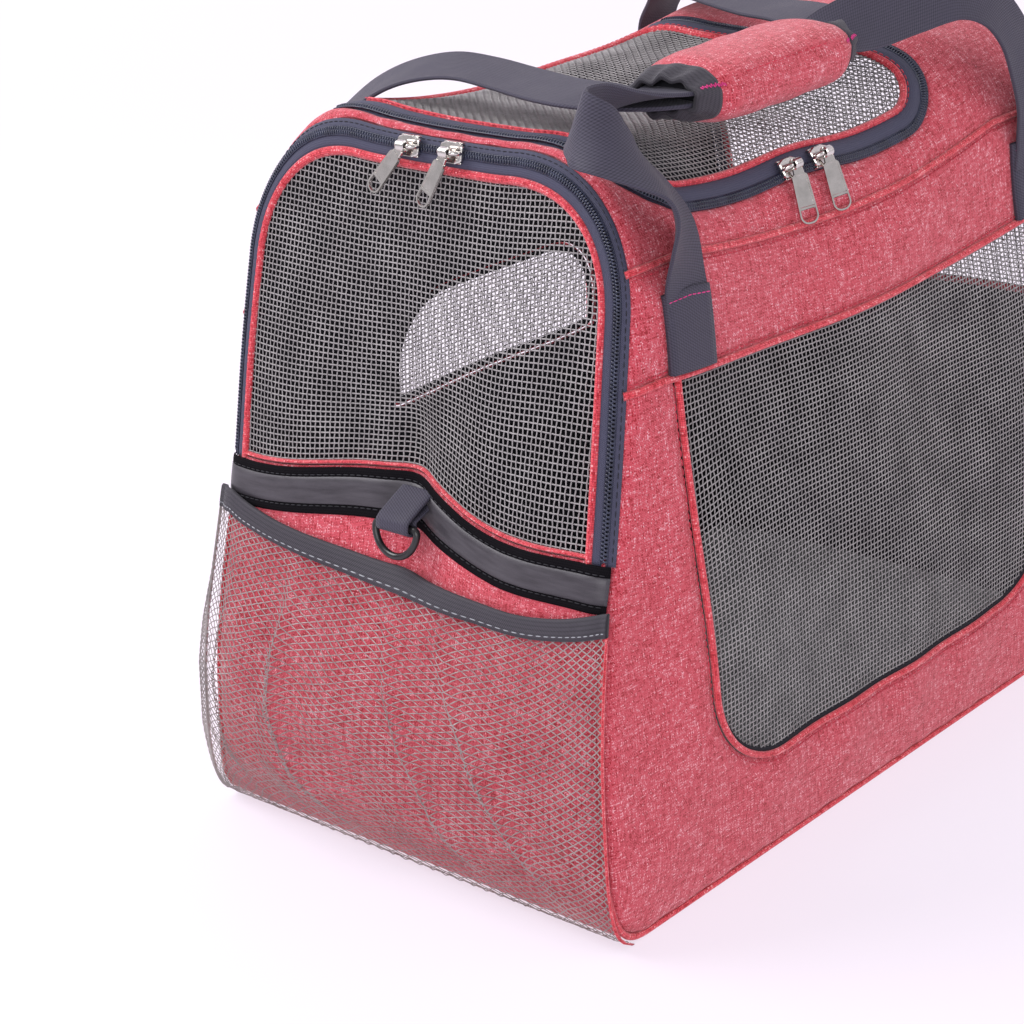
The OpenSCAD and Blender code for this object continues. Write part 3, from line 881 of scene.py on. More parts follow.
def ribbed(name, dark, light, rib=0.0011, across=0.0016, rough=0.62, sheen=0.08, gloss=0.25):
    """Narrow woven webbing or tape: fine ribs across it, painted lighter on their tops and darker in the grooves
    between them as painted shade, and a slight change of tone along it.
    """
    g = Graph(name)
    u, v = g.u, g.v
    rib_wave = abs(g.math("SINE", (u + v * 0.55) * (math.pi / rib)))
    row_wave = abs(g.math("SINE", v * (math.pi / across)))
    height = rib_wave * 0.6 + row_wave * 0.4
    fibre = g.noise(g.join(u * 2300.0, v * 500.0))
    wear = g.noise(g.join(u, v), 70.0, 3.0)
    # painted shade of the ribs: rib tops lighter, grooves darker, mixed with random fibre and wear tone
    colour = g.ramp(height * 0.62 + (fibre + wear) * 0.22, [(0.12, dark), (0.80, light)])
    g.bump(height, 0.00025, 0.7)
    rough = g.spread(wear, 0.3, 0.7, rough - 0.06, rough + 0.08)
    return g.finish(colour, rough, Sheen_Weight=sheen, Sheen_Roughness=0.4, Specular_IOR_Level=gloss)


def yarn(name, dark, light, rough=0.55):
    """Single threads: coated mesh, net cord or stitches."""
    g = Graph(name)
    tone, fine = g.noise(g.place, 60.0), g.noise(g.place, 900.0)
    colour = g.ramp(tone * 0.6 + fine * 0.4, [(0.3, dark), (0.7, light)])
    g.bump(fine, 0.0001, 0.4)
    return g.finish(colour, g.spread(fine, 0.2, 0.8, rough - 0.08, rough + 0.1), Specular_IOR_Level=0.35)


def metal(name, dark, light, rough=0.22, scale=900.0):
    """Polished plated metal with fine rubbing marks and dulled hollows."""
    g = Graph(name)
    x, y, z = g.split(g.place)
    brushed = g.noise(g.join(x * scale, y * (scale * 2.5), z * 240.0), 1.0, 3.0)
    patches = g.noise(g.place, 220.0, 3.0)
    colour = g.ramp(patches, [(0.3, dark), (0.65, light)])
    g.bump(brushed, 0.00001, 0.08)
    return g.finish(colour, g.spread(brushed + patches, 0.6, 1.4, rough - 0.04, rough + 0.08), Metallic=1.0)


def moulded(name, dark, light, rough=0.35):
    """Smooth plastic or enamel with faint grain and rubbed patches."""
    g = Graph(name)
    grain, patches = g.noise(g.place, 1500.0, 3.0), g.noise(g.place, 120.0, 3.0)
    colour = g.ramp(patches, [(0.35, dark), (0.7, light)])
    g.bump(grain, 0.00005, 0.3)
    return g.finish(colour, g.spread(patches, 0.3, 0.7, rough - 0.06, rough + 0.12), Specular_IOR_Level=0.5)


def pile(name, dark, light):
    """Short fleece."""
    g = Graph(name)
    tufts, tone = g.noise(g.place, 850.0, 4.0, 0.7), g.noise(g.place, 45.0, 3.0)
    colour = g.ramp(tufts * 0.6 + tone * 0.4, [(0.3, dark), (0.7, light)])
    g.bump(tufts, 0.0012, 0.8)
    rough = g.spread(tufts, 0.2, 0.8, 0.85, 1.0)
    return g.finish(colour, rough, Sheen_Weight=0.6, Sheen_Roughness=0.6, Specular_IOR_Level=0.15)


def reflective(name, dark, light):
    """Grey retro-reflective film: tiny glass beads over cloth, scuffed in places."""
    g = Graph(name)
    beads = g.noise(g.place, 4200.0)
    scuffs = g.noise(g.join(g.u * 60.0, g.v * 420.0), 1.0, 4.0, 0.6)
    colour = g.ramp(beads * 0.3 + scuffs * 0.7, [(0.35, dark), (0.62, light), (0.78, light)])
    g.bump(beads, 0.00006, 0.5)
    rough = g.spread(scuffs, 0.35, 0.75, 0.34, 0.5)
    return g.finish(colour, rough, Metallic=0.15, Specular_IOR_Level=0.4)


CORAL = melange("coral_melange", rgb(0.34, 0.012, 0.022), rgb(0.62, 0.080, 0.112), rgb(0.86, 0.40, 0.45))
CORAL_BINDING = melange(
    "coral_binding", rgb(0.42, 0.018, 0.028), rgb(0.70, 0.07, 0.095), rgb(0.92, 0.36, 0.38), pitch=0.0008
)
LINING = ribbed(
    "dark_lining", rgb(0.006, 0.006, 0.009), rgb(0.017, 0.016, 0.022),
    rib=0.0005, across=0.0006, rough=0.8, sheen=0.0,
)
TAPE = ribbed("zip_tape", rgb(0.026, 0.027, 0.050), rgb(0.064, 0.064, 0.108), rib=0.0007, across=0.0009)
WEBBING = ribbed("webbing", rgb(0.010, 0.009, 0.016), rgb(0.060, 0.055, 0.082), rib=0.0012, across=0.0014)
RIBBED_BINDING = ribbed(
    "ribbed_binding", rgb(0.012, 0.011, 0.015), rgb(0.058, 0.053, 0.066), rib=0.0009, across=0.0018
)
BLACK_TAPE = ribbed(
    "black_tape", rgb(0.001, 0.001, 0.0015), rgb(0.007, 0.006, 0.008),
    rib=0.0009, across=0.0011, rough=0.85, sheen=0.0, gloss=0.06,
)
COIL = moulded("zip_coil", rgb(0.012, 0.015, 0.035), rgb(0.030, 0.036, 0.070), rough=0.30)
MESH_YARN = yarn("mesh_yarn", rgb(0.185, 0.172, 0.178), rgb(0.350, 0.330, 0.335), rough=0.48)
NET_YARN = yarn("net_yarn", rgb(0.200, 0.180, 0.178), rgb(0.420, 0.380, 0.375), rough=0.55)
PALE_STITCH = yarn("pale_stitch", rgb(0.220, 0.230, 0.260), rgb(0.400, 0.410, 0.440), rough=0.6)
RED_STITCH = yarn("red_stitch", rgb(0.330, 0.012, 0.030), rgb(0.620, 0.050, 0.085), rough=0.6)
MAGENTA_STITCH = yarn("magenta_stitch", rgb(0.420, 0.010, 0.120), rgb(0.700, 0.060, 0.260), rough=0.6)
DARK_STITCH = yarn("dark_stitch", rgb(0.008, 0.008, 0.011), rgb(0.024, 0.023, 0.030), rough=0.7)
REFLECTIVE = reflective("reflective_film", rgb(0.036, 0.032, 0.039), rgb(0.066, 0.060, 0.071))
NICKEL = metal("nickel", rgb(0.55, 0.53, 0.50), rgb(0.66, 0.63, 0.60), rough=0.15)
RING_BLACK = moulded("ring_black", rgb(0.006, 0.006, 0.007), rgb(0.018, 0.018, 0.020), rough=0.28)
WIRE = metal("spring_steel", rgb(0.30, 0.30, 0.31), rgb(0.50, 0.50, 0.51), rough=0.35, scale=500.0)
BOARD = moulded("base_board", rgb(0.020, 0.020, 0.022), rgb(0.045, 0.045, 0.048), rough=0.6)
FLEECE = pile("grey_fleece", rgb(0.012, 0.012, 0.014), rgb(0.036, 0.035, 0.040))


# ------------------------------------------------------------------ outlines
SEAM = SEAM_Z * math.hypot(1, SIDE_TAPER)
TOP_SEAM = SIDE_LENGTH + SHOULDER_RADIUS * math.asin((TOP_SEAM_Z - SHOULDER_Z) / SHOULDER_RADIUS)
FAR_OF = 2 * MIDDLE
ZIP_T, ZIP_GAP = 3.0, 1.1
EDGE_BACK = 3.2
COIL_PITCH = 1.45
TAPE_WIDE, DOOR_TAPE_WIDE, BINDING_WIDE = 5.2, 5.6, 4.0
BINDING_T = ZIP_T + ZIP_GAP + DOOR_TAPE_WIDE - 0.6
MESH_T = BINDING_T + BINDING_WIDE - 1.2


def cross_floor(z):
    """Length up a side from the floor to height z."""
    return z * math.hypot(1, SIDE_TAPER)


def side_limit(z, back):
    """Half length of a side panel at height z, kept a distance back from the end's edge."""
    x, _, angle = end_curve(end_length(z))
    return x - back / np.cos(np.clip(angle, 0, 1))


def level(low, high, at, step=2.0):
    """Points on a straight line at one height, between its ends."""
    x = span(low, high, step)[1:-1]
    return np.stack([x, 0 * x + at], -1)


def body_outline(low_z, top_z, back):
    """Side view outline from the front at top_z, down round the heels and up to the rear at top_z."""
    x, z, angle = end_curve(end_length(span(top_z, low_z, 2.0)))
    inset = back * smooth(160, 174, z)
    half = np.stack([x - inset * np.cos(angle), z - inset * np.sin(angle)], -1)
    return np.vstack([half * [-1, 1], level(-HEEL_X, HEEL_X, 0, 3.0), half[::-1]])


window_top, window_foot = WINDOW_HALF + 1.0, WINDOW_HALF - 7.0


def near_window(inset):
    """The near side window, open at the seam: its sides lean in towards the rounded lower corners."""
    corners = [
        (-window_top + inset, SEAM),
        (-window_foot + inset, WINDOW_LOW + inset),
        (window_foot - inset, WINDOW_LOW + inset),
        (window_top - inset, SEAM),
    ]
    return rounded(corners, 46 - inset, closed=False)


def far_window(inset):
    low, high = FAR_LOW, FAR_HIGH
    corners = [
        (low[0] + inset, low[2] + inset),
        (high[0] - inset, low[2] + inset),
        (high[0] - inset, high[2] - inset),
        (low[0] + inset, high[2] - inset),
    ]
    return rounded(corners, [4, 4, 38 - inset, 38 - inset])


def far_side(x, q, h):
    """The far side by its own height coordinate, from the far floor edge up."""
    return tube(x, FAR_OF - q, h)


flap_near, flap_far = (float(cross_length(y)) for y in (FLAP_LOW[1] - ZIP_GAP, FLAP_HIGH[1]))


FLAP_FAR_MORE = 9.3


def flap_outline(inset, closed=True):
    """The top opening on the unrolled top: the zip's middle line when inset is 0."""
    x0, x1 = FLAP_LOW[0] - 1 + inset, FLAP_HIGH[0] + 1 - inset
    sewn = inset - FLAP_FAR_MORE if inset > FLAP_FAR_MORE else min(inset, 0)
    p0, p1 = flap_near + inset, flap_far - (sewn if closed else 0)
    r = max(34 - inset, 12)
    radii = [r * 0.6, r, r, r * 0.6] if closed else r
    return rounded([(x0, p1), (x0, p0), (x1, p0), (x1, p1)], radii, closed=closed)


def crown_drop(p):
    """Near the crown each door's zip lies a little further down the end."""
    return 3.0 * (1 - smooth(50, 115, np.abs(p - MIDDLE)))


def door_outline(inset, low):
    """The end door on the end's (y, s) surface: an arch standing on its fold line."""
    p = span(cross_floor(low), FAR_OF - cross_floor(low), 2.0)
    y, z, tube_n = cross_curve(p)
    angle = end_curve(end_length(z))[2]
    end_n = vec(np.cos(angle), 0 * p, np.sin(angle))
    k = (tube_n * end_n).sum(-1, keepdims=True)
    inward = -unit(tube_n - k * end_n) * (inset + crown_drop(p))[:, None]
    return np.stack([y + inward[:, 1], end_length(z + inward[:, 2])], -1)


# ------------------------------------------------------------------ side panels
def lofted(surface, inner, outer, columns, wrap=False):
    """A panel between two outlines with the same number of points."""
    even = np.linspace(0, 1, columns)
    across = 0.5 * (0.5 - 0.5 * np.cos(np.pi * even)) + 0.5 * even
    u = inner[:, :1] + (outer - inner)[:, :1] * across
    v = inner[:, 1:] + (outer - inner)[:, 1:] * across
    width = np.linalg.norm(outer - inner, axis=-1)[:, None]
    return panel(surface, u, v, width * np.minimum(across, 1 - across), wrap)


def follow(parts, course, profile, slot=0):
    return band(parts, course, course.stations(2.0), profile, slot, course.closed)


def stitches(parts, surface, stations, size, across, out, slot=0, turned=False):
    """Stitches of one length, width and height; turned, they lie across the line."""
    shape, faces = bar(*size)
    shape = np.array(shape)[:, [1, 0, 2]] if turned else np.array(shape)
    return stamps(parts, surface, stations, shape + [0, across, out], faces, slot)


def stitch_row(parts, course, across, out, slot=0):
    stations = np.arange(4.0, course.length - 4.0, 3.4)
    return stitches(parts, course, stations, (2.5, 0.5, 0.42), across, out, slot)


def coil(name, body, surface, first, last, across, turn, phase=0.0):
    """One row of zip teeth with the cord inside them; turn is 1 where the tape lies at lower across."""
    shape = [
        (-0.36, -1.9, -0.3), (0.36, -1.9, -0.3), (0.36, -1.9, 0.6), (-0.36, -1.9, 0.6),
        (-0.36, -1.1, 0.1), (0.36, -1.1, 0.1), (0.36, -1.0, 1.25), (-0.36, -1.0, 1.25),
        (-0.38, 0.35, 0.1), (0.38, 0.35, 0.1), (0.38, 0.35, 1.2), (-0.38, 0.35, 1.2),
    ]
    faces = [[3, 2, 1, 0], [8, 9, 10, 11]]
    for a in (0, 4):
        faces += [[a + j, a + (j + 1) % 4, a + 4 + (j + 1) % 4, a + 4 + j] for j in range(4)]
    shape = np.array(shape) * [1, turn, 1] + [phase, across, 0]
    faces = np.array(faces) if turn > 0 else np.array(faces)[:, ::-1]
    made = stamps(Parts(), surface, np.arange(first + 2, last - 3, COIL_PITCH), shape, faces)
    rod = [(across - turn * 1.75 + 0.35 * math.cos(a), 0.35 + 0.35 * math.sin(a)) for a in -circle(6)]
    band(made, surface, span(first, last, 2.0), rod)
    return piece(name, made, COIL, body, slot="zip_tape")


angles = np.linspace(math.pi, 2 * math.pi, 420)
centre = np.array([0.0, SEAM])
outer = radial(body_outline(0.4, SEAM, EDGE_BACK), centre, angles)
side = lofted(tube, radial(near_window(-1.0), centre, angles), outer, 26)
piece("near_side_panel_cloth", side, [CORAL, LINING], "shell", "near_side_panel")

turn = np.linspace(-math.pi, math.pi, 480, endpoint=False)
centre = np.array([0.0, (FAR_LOW[2] + FAR_HIGH[2]) / 2])
limit = side_limit(SEAM_Z, EDGE_BACK)
whole = np.vstack([body_outline(0.4, SEAM, EDGE_BACK), level(limit, -limit, SEAM, 3.0)])
side = lofted(far_side, radial(far_window(-1.0), centre, turn), radial(whole, centre, turn), 34, wrap=True)
piece("far_side_panel_cloth", side, [CORAL, LINING], "shell", "far_side_panel")

for name, surface, window, closed in (
    ("near_window", tube, near_window, False),
    ("far_window", far_side, far_window, True),
):
    outline = window(3.0) if closed else np.vstack([window(3.0), [[0, SEAM + 1.5]]])
    piece(name + "_threads", woven(surface, outline), MESH_YARN, "shell", name + "_mesh")
    course = Course(window(0.6), surface, closed)
    bead = follow(Parts(), course, round_profile(0, -0.1, 1.55))
    follow(bead, course, flat_profile(-3.2, 0.2, -2.2, -0.9, 0.3, 0.3), 1)
    piece(name + "_bead", bead, [CORAL_BINDING, LINING], "shell", name + "_piping")
    row = stitch_row(Parts(), course, 3.6, 0.35)
    piece(name + "_topstitch", row, RED_STITCH, "shell", slot="coral_piping")


def across_bag(surface, q, back):
    """A line along the bag at one height coordinate, from front edge to rear edge."""
    z = float(cross_curve(np.array(q))[1])
    x = side_limit(z, back)
    return Course([(k, q) for k in span(-x, x, 2.0)], surface)


for name, surface in (("near", tube), ("far", far_side)):
    rows = span(SEAM, TOP_SEAM, 2.2)
    limits = side_limit(cross_curve(rows)[1], EDGE_BACK)
    cols = np.linspace(-1, 1, 170)[:, None]
    u = cols * limits
    v = np.broadcast_to(rows, u.shape)
    distance = np.minimum(np.minimum(v - SEAM, TOP_SEAM - v), (1 - np.abs(cols)) * limits)
    piece(name + "_band_cloth", panel(surface, u, v, distance), [CORAL, LINING], "shell", name + "_band")
    for seam, q, stitch_at in (("seam", SEAM, -3.2), ("top", TOP_SEAM, 3.2)):
        course = across_bag(surface, q, EDGE_BACK - 1)
        bead = follow(Parts(), course, round_profile(0, 0.15, 1.6))
        piece(f"{name}_{seam}_bead", bead, CORAL_BINDING, "shell", f"{name}_{seam}_piping")
        row = stitch_row(Parts(), course, stitch_at, 0.25)
        piece(f"{name}_{seam}_topstitch", row, RED_STITCH, "shell", slot="coral_piping")
    course = Course(body_outline(1.2, 150.0, 0.0), surface)
    bead = follow(Parts(), course, round_profile(0, 0.2, 1.25))
    piece(f"{name}_base_bead", bead, CORAL_BINDING, "shell", slot="coral_piping")


# ------------------------------------------------------------------ base and ends
def end_grid(low_s, high_s, columns, step):
    """Points (y, s) over an end between two heights, out to the body's edges."""
    rows = span(low_s, high_s, step)
    y = np.linspace(-1, 1, columns)[:, None] * half_width(end_curve(rows)[1])
    return y, np.broadcast_to(rows, y.shape)


def to_side(y, s):
    """Distance from a point of an end to the body's side edge."""
    return half_width(end_curve(s)[1]) - np.abs(y)


rise = end_length(40.0)
base = Parts()
for side in (FRONT, REAR):
    y, s = end_grid(-HEEL_X, rise, 90, 3.0)
    h = np.minimum(pillow(np.minimum(rise - s, to_side(y, s)), 0.0, -1.0), 0)
    rims = [(RIGHT, False), (FIRST, False), (LAST, False)]
    sheet(base, end(side), y, s, h, 3, rims, flip=side == FRONT)
piece("bottom_cloth", base, [CORAL, LINING], "shell", "bottom_panel")

STRIP_BORDER = 4.6
strip_low, strip_high = (float(end_length(z + 2.6)) for z in (STRIP_LOW + 0.6, STRIP_HIGH + 0.6))
fold_s = float(end_length(FOLD_Z))
for end_name, side in (("front", FRONT), ("rear", REAR)):
    surface = end(side)
    y, s = end_grid(rise - 1, fold_s - 0.2, 110, 2.2)
    distance = np.minimum(to_side(y, s), np.minimum(s - rise + 1, 2.5 + fold_s - s))
    h = pillow(distance, 0.6, -1.2) + puckers(y, s, distance)
    rims = [(RIGHT, False), (LEFT, False), (FIRST, False), (LAST, False)]
    made = sheet(Parts(), surface, y, s, h, 3, rims, flip=side == FRONT)
    piece(end_name + "_lower_cloth", made, [CORAL, LINING], "shell", end_name + "_lower_panel")

    wide = float(half_width(np.array((STRIP_LOW + STRIP_HIGH) / 2))) + 0.6
    line = Course([(k, (strip_low + strip_high) / 2) for k in span(-wide, wide, 2.0)], surface)
    half = (strip_high - strip_low) / 2
    film = half - STRIP_BORDER
    strip = Parts()
    for low, high, slot, out, lift in (
        (-half, -film, 0, 1.35, 0.25),
        (-film - 0.4, film + 0.4, 1, 1.75, 0.12),
        (film, half, 0, 1.35, 0.25),
    ):
        follow(strip, line, flat_profile(low, high, 0.55, out, 0.35, lift, 5), slot)
    for across in (-film - 1.1, film + 1.1):
        stitch_row(strip, line, across, 1.55, slot=2)
    films = [BLACK_TAPE, REFLECTIVE, DARK_STITCH]
    piece(end_name + "_strip_tape", strip, films, "shell", end_name + "_reflective_strip")

    # the arch zip: tape sewn to the body, coil, and the door's own tape, binding and mesh
    edge = edge_of(side)
    first = cross_floor(FOLD_Z - 1.0)
    last = FAR_OF - first
    stops = span(first, last, 2.0)

    def arch(p, t, h):
        return edge(p, t + crown_drop(p), h)

    outer_tape = ZIP_T - ZIP_GAP - TAPE_WIDE
    flat = flat_profile(outer_tape - 1.2, ZIP_T - ZIP_GAP + 0.2, -1.3, -0.2, 0.4, 0.15, 5)
    tape = band(Parts(), arch, stops, flat)
    stitches(tape, arch, np.arange(first + 3, last - 3, 3.2), (2.2, 0.45, 0.35), outer_tape + 1.5, 0.0, 1)
    piece(end_name + "_opening_zip_tape", tape, [TAPE, DARK_STITCH], "shell", end_name + "_opening_tape")

    low, high = cross_floor(6.0), cross_floor(FOLD_Z + 2.0)
    near_line, far_line = span(low, high, 2.5), span(FAR_OF - high, FAR_OF - low, 2.5)
    for flank, stations in (("near", near_line), ("far", far_line)):
        backing = band(Parts(), edge, stations, flat_profile(-7.0, 5.0, -2.6, -1.6, 0.3, 0.0, 7))
        piece(f"{end_name}_{flank}_corner_tape", backing, CORAL, "shell", slot="coral_fabric", solid=True)

    foot = cross_floor(22.0)
    arc = span(foot, FAR_OF - foot, 2.5)
    wire = band(Parts(), edge, arc, round_profile(-1.5, -5.0, 1.25, 10))
    piece(end_name + "_arch_wire_steel", wire, WIRE, "shell", end_name + "_arch_wire", solid=True)
    sleeve = band(Parts(), edge, arc, round_profile(-1.5, -5.0, 2.1, 10))
    piece(end_name + "_arch_wire_sleeve", sleeve, LINING, "shell", slot="coral_fabric", solid=True)

    door = end_name + "_door"

    def hinged(made):
        """Bakes the placing of a door's piece into its mesh."""
        side * 0.1853
        side * 0.1828
        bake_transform(made)

    inner_tape = ZIP_T + ZIP_GAP
    flat = flat_profile(inner_tape - 0.2, inner_tape + DOOR_TAPE_WIDE, -1.2, -0.1, 0.4, 0.15, 5)
    tape = band(Parts(), arch, stops, flat)
    hinged(piece(door + "_zip_tape", tape, TAPE, None, door + "_tape"))

    coil(end_name + "_opening_coil", "shell", arch, first, last, ZIP_T - 0.1, 1)
    hinged(coil(door + "_coil", None, arch, first, last, ZIP_T + 0.1, -1, COIL_PITCH / 2))

    flat = flat_profile(BINDING_T, BINDING_T + BINDING_WIDE, -1.9, 0.35, 0.7, 0.75, 6)
    bind = band(Parts(), arch, stops, flat)
    stitches(bind, arch, np.arange(first + 3, last - 3, 3.3), (2.3, 0.45, 0.35), BINDING_T + 1.5, 0.8, 1)
    low_half = float(half_width(np.array(FOLD_Z))) - BINDING_T - 1.6
    low_line = Course([(k, fold_s + 0.1) for k in span(-low_half, low_half, 2.0)], surface)
    follow(bind, low_line, flat_profile(-2.2, -0.2, -2.0, 0.45, 0.5, 0.4, 5))
    hinged(piece(door + "_binding_roll", bind, [CORAL_BINDING, RED_STITCH], None, door + "_binding"))
    mesh = woven(surface, door_outline(MESH_T, FOLD_Z + 1.4), depth=-1.0)
    hinged(piece(door + "_threads", mesh, MESH_YARN, None, door + "_mesh"))


# ------------------------------------------------------------------ top
turn = np.linspace(-math.pi, math.pi, 560, endpoint=False)
centre = np.array([(FLAP_LOW[0] + FLAP_HIGH[0]) / 2, (flap_near + flap_far) / 2])
rows = span(TOP_SEAM, FAR_OF - TOP_SEAM, 2.0)
limits = side_limit(cross_curve(rows)[1], EDGE_BACK)
frame_line = np.vstack([
    np.stack([-limits, rows], -1),
    level(-limits[-1], limits[-1], rows[-1]),
    np.stack([limits, rows], -1)[::-1],
    level(limits[0], -limits[0], rows[0]),
])
hole = flap_outline(-ZIP_GAP - 1.0)
hole[:, 1] = np.minimum(hole[:, 1], flap_far + 0.2)
ring = lofted(tube, radial(hole, centre, turn), radial(frame_line, centre, turn), 30, wrap=True)
piece("top_cloth", ring, [CORAL, LINING], "shell", "top_panel")

zip_course = Course(flap_outline(0, closed=False), tube)
stops = zip_course.stations(2.0)


def top_zip(s, across, out):
    """The line of the top zip; across is towards the flap."""
    return zip_course(s, -across, out)


FLAP_TAPE_MORE = 3.2
tape_out = Parts()
inward, hidden = -ZIP_GAP + 0.2, -ZIP_GAP - TAPE_WIDE
bent_under = [(-ZIP_GAP - 1.2, -2.6), (hidden, -2.9), (hidden, -2.4), (-ZIP_GAP - 1.0, -1.9)]
band(tape_out, top_zip, stops, [(inward, -0.2), (inward, -1.3)] + bent_under)
tape_in = Parts()
flat = flat_profile(ZIP_GAP - 0.2, ZIP_GAP + TAPE_WIDE + FLAP_TAPE_MORE, -1.2, -0.1, 0.4, 0.9, 7)
band(tape_in, top_zip, stops, flat[::-1])
piece("top_opening_zip_tape", tape_out, TAPE, "shell", "top_opening_tape", solid=True)


def hung(made):
    """Bakes the placing of a flap's piece into its mesh."""
    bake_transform(made)


hung(piece("top_flap_zip_tape", tape_in, TAPE, None, "top_flap_tape"))
coil("top_opening_coil", "shell", top_zip, 0, zip_course.length, -0.1, 1)
hung(coil("top_flap_coil", None, top_zip, 0, zip_course.length, 0.1, -1, COIL_PITCH / 2))
inset = ZIP_GAP + TAPE_WIDE + FLAP_TAPE_MORE + BINDING_WIDE / 2 - 0.8
flap_edge = Course(flap_outline(inset), tube, True)
half = BINDING_WIDE / 2
bind = follow(Parts(), flap_edge, flat_profile(-half, half, -1.9, 0.35, 0.7, 0.75, 6))
stitch_row(bind, flap_edge, 1.6, 0.8, slot=1)
hung(piece("top_flap_binding_roll", bind, [CORAL_BINDING, RED_STITCH], None, "top_flap_binding"))
outline = flap_outline(inset + BINDING_WIDE / 2 - 1.4)
hung(piece("top_flap_threads", woven(tube, outline, depth=-1.0), MESH_YARN, None, "top_flap_mesh"))


# ------------------------------------------------------------------ sliders, pulls and rings
PIVOT = {j["name"]: np.array(j["pos_m"]) / MM for j in frame["joints"] if j.get("pos_m")}
TOP_ANGLE = math.asin((-FLAP_LOW[1] + 1 - SHOULDER_Y) / SHOULDER_RADIUS)
BAR_HEIGHT, BAR_RADIUS, BARREL, BARREL_HOLE = 5.6, 1.0, 2.4, 1.35
PULL_LENGTH, PULL_WIDTH, TOP_TILT = 26.0, 8.0, math.radians(18)
TOP_PULL_TWIST, TOP_PULL_WIDTH = 34, 8.8
TAB_WIDTH, RING_RADIUS, RING_LEG, RING_WIRE = 18.5, 12.0, 1.2, 1.6


def end_axes(side):
    """Across, up and out on the leaning part of an end."""
    c, s = math.cos(LEAN), math.sin(LEAN)
    return (0, side, 0), (-side * s, 0, c), (side * c, 0, s)


def top_axes(angle):
    return (1, 0, 0), (0, math.cos(angle), math.sin(angle)), (0, -math.sin(angle), math.cos(angle))


def slider_parts():
    made = Parts()
    quarter = [(6, 3.2), (2.5, 4.5)]
    plate = [(x, y) for x, y in quarter] + [(-x, y) for x, y in quarter[::-1]]
    plate = [(-x, -y) for x, y in plate] + plate
    slab(made, rounded(plate, 1.2, step=0.5), 0.7, 2.5, 0.45)
    for sign in (-1, 1):
        corners = [(-5, sign * 3.7), (5, sign * 3.7), (5, sign * 4.5), (-5, sign * 4.5)][::sign]
        slab(made, rounded(corners, 0.35, step=0.3), -0.9, 1.2, 0.2)
    rising = [(-5.2, 0, 1.8), (-4.9, 0, 3.8), (-3.6, 0, 5.3), (-1.5, 0, BAR_HEIGHT)]
    bridge = flowing(rising + [(-x, y, z) for x, y, z in rising[::-1]], 0.5)
    trail(made, bridge, (0, 0, 1) + 0.6 * bridge * [1, 0, 0] / 5, ellipse(BAR_RADIUS, BAR_RADIUS * 0.95))
    return made


def bars(half_low, low, half_high, high):
    """Corners of a plate that is narrower at one end, from its low edge or from its high edge."""
    return [(-half_low, low), (-half_high, high), (half_high, high), (half_low, low)]


def pull_parts(tilt, twist, width):
    """A framed pull that hangs from its bar, turned a little to one side and twisted a little."""
    made = Parts()
    turn = circle(28)
    ring = np.stack([0 * turn, np.cos(turn), np.sin(turn)], -1) * (BARREL + BARREL_HOLE) / 2
    trail(made, ring, ring, flat_profile(-2.3, 2.3, -0.5, 0.5, 0.3, 0.0, 4), closed=True)
    hung = Parts()
    neck = [(-2.2, -1.9), (2.2, -1.9), (2.4, -5.2), (-2.4, -5.2)]
    slab(hung, rounded(neck, 0.4, step=0.4), -0.65, 0.65, 0.25)
    low, w = -PULL_LENGTH + 0.6, width / 2 - 0.6
    rim = rounded(bars(w - 0.7, -4.6, w, low), [1.6, 3.2, 3.2, 1.6], step=0.5)
    rim = np.column_stack([rim, 0 * rim[:, 0]])
    trail(hung, rim, (0, 0, 1), flat_profile(-0.6, 0.6, -0.8, 0.8, 0.25, 0.0, 4), closed=True)
    slab(hung, rounded(bars(w - 0.9, -5, w - 0.4, -19), 0.8, step=0.5), -0.4, 0.45, 0.12)
    slab(hung, rounded(bars(w - 0.2, -19.6, w - 0.2, -18.2), 0.3, step=0.4), -0.7, 0.75, 0.25)
    c, s = math.cos(twist), math.sin(twist)
    hung.moved((0, 0, 0), (c, 0, s), (0, 1, 0), (-s, 0, c))
    c, s = math.cos(tilt), math.sin(tilt)
    return made.merge(hung.moved((0, 0, 0), (c, s, 0), (-s, c, 0), (0, 0, 1)))


def zip_ends():
    """Each slider's and pull's name, the axes of both, and the pull's tilt, twist and width."""
    for end_name, side in (("front", FRONT), ("rear", REAR)):
        for name, tilt in (("near", 26), ("far", 38)):
            axes, hang = end_axes(side), (side * tilt, 0, PULL_WIDTH)
            yield f"{end_name}_slider_{name}", f"{end_name}_pull_{name}", axes, axes, hang
    for name, tilt in (("front", -3), ("rear", 1)):
        axes, pull_axes = top_axes(TOP_ANGLE), top_axes(math.pi / 2 - TOP_TILT)
        hang = (tilt, TOP_PULL_TWIST, TOP_PULL_WIDTH)
        yield f"top_slider_{name}", f"top_pull_{name}", axes, pull_axes, hang


for slider_name, pull_name, axes, hang, (tilt, twist, width) in zip_ends():
    pivot = PIVOT[pull_name + "_swing"]
    base_place = pivot - BAR_HEIGHT * np.array(axes[2])
    body = slider_parts().moved(base_place, *axes)
    piece(slider_name + "_body", body, NICKEL, slider_name, slider_name, crease=40, solid=True)
    tab = pull_parts(math.radians(tilt), math.radians(twist), width).moved(pivot, *hang)
    piece(pull_name + "_tab", tab, NICKEL, pull_name, pull_name, crease=40, solid=True)

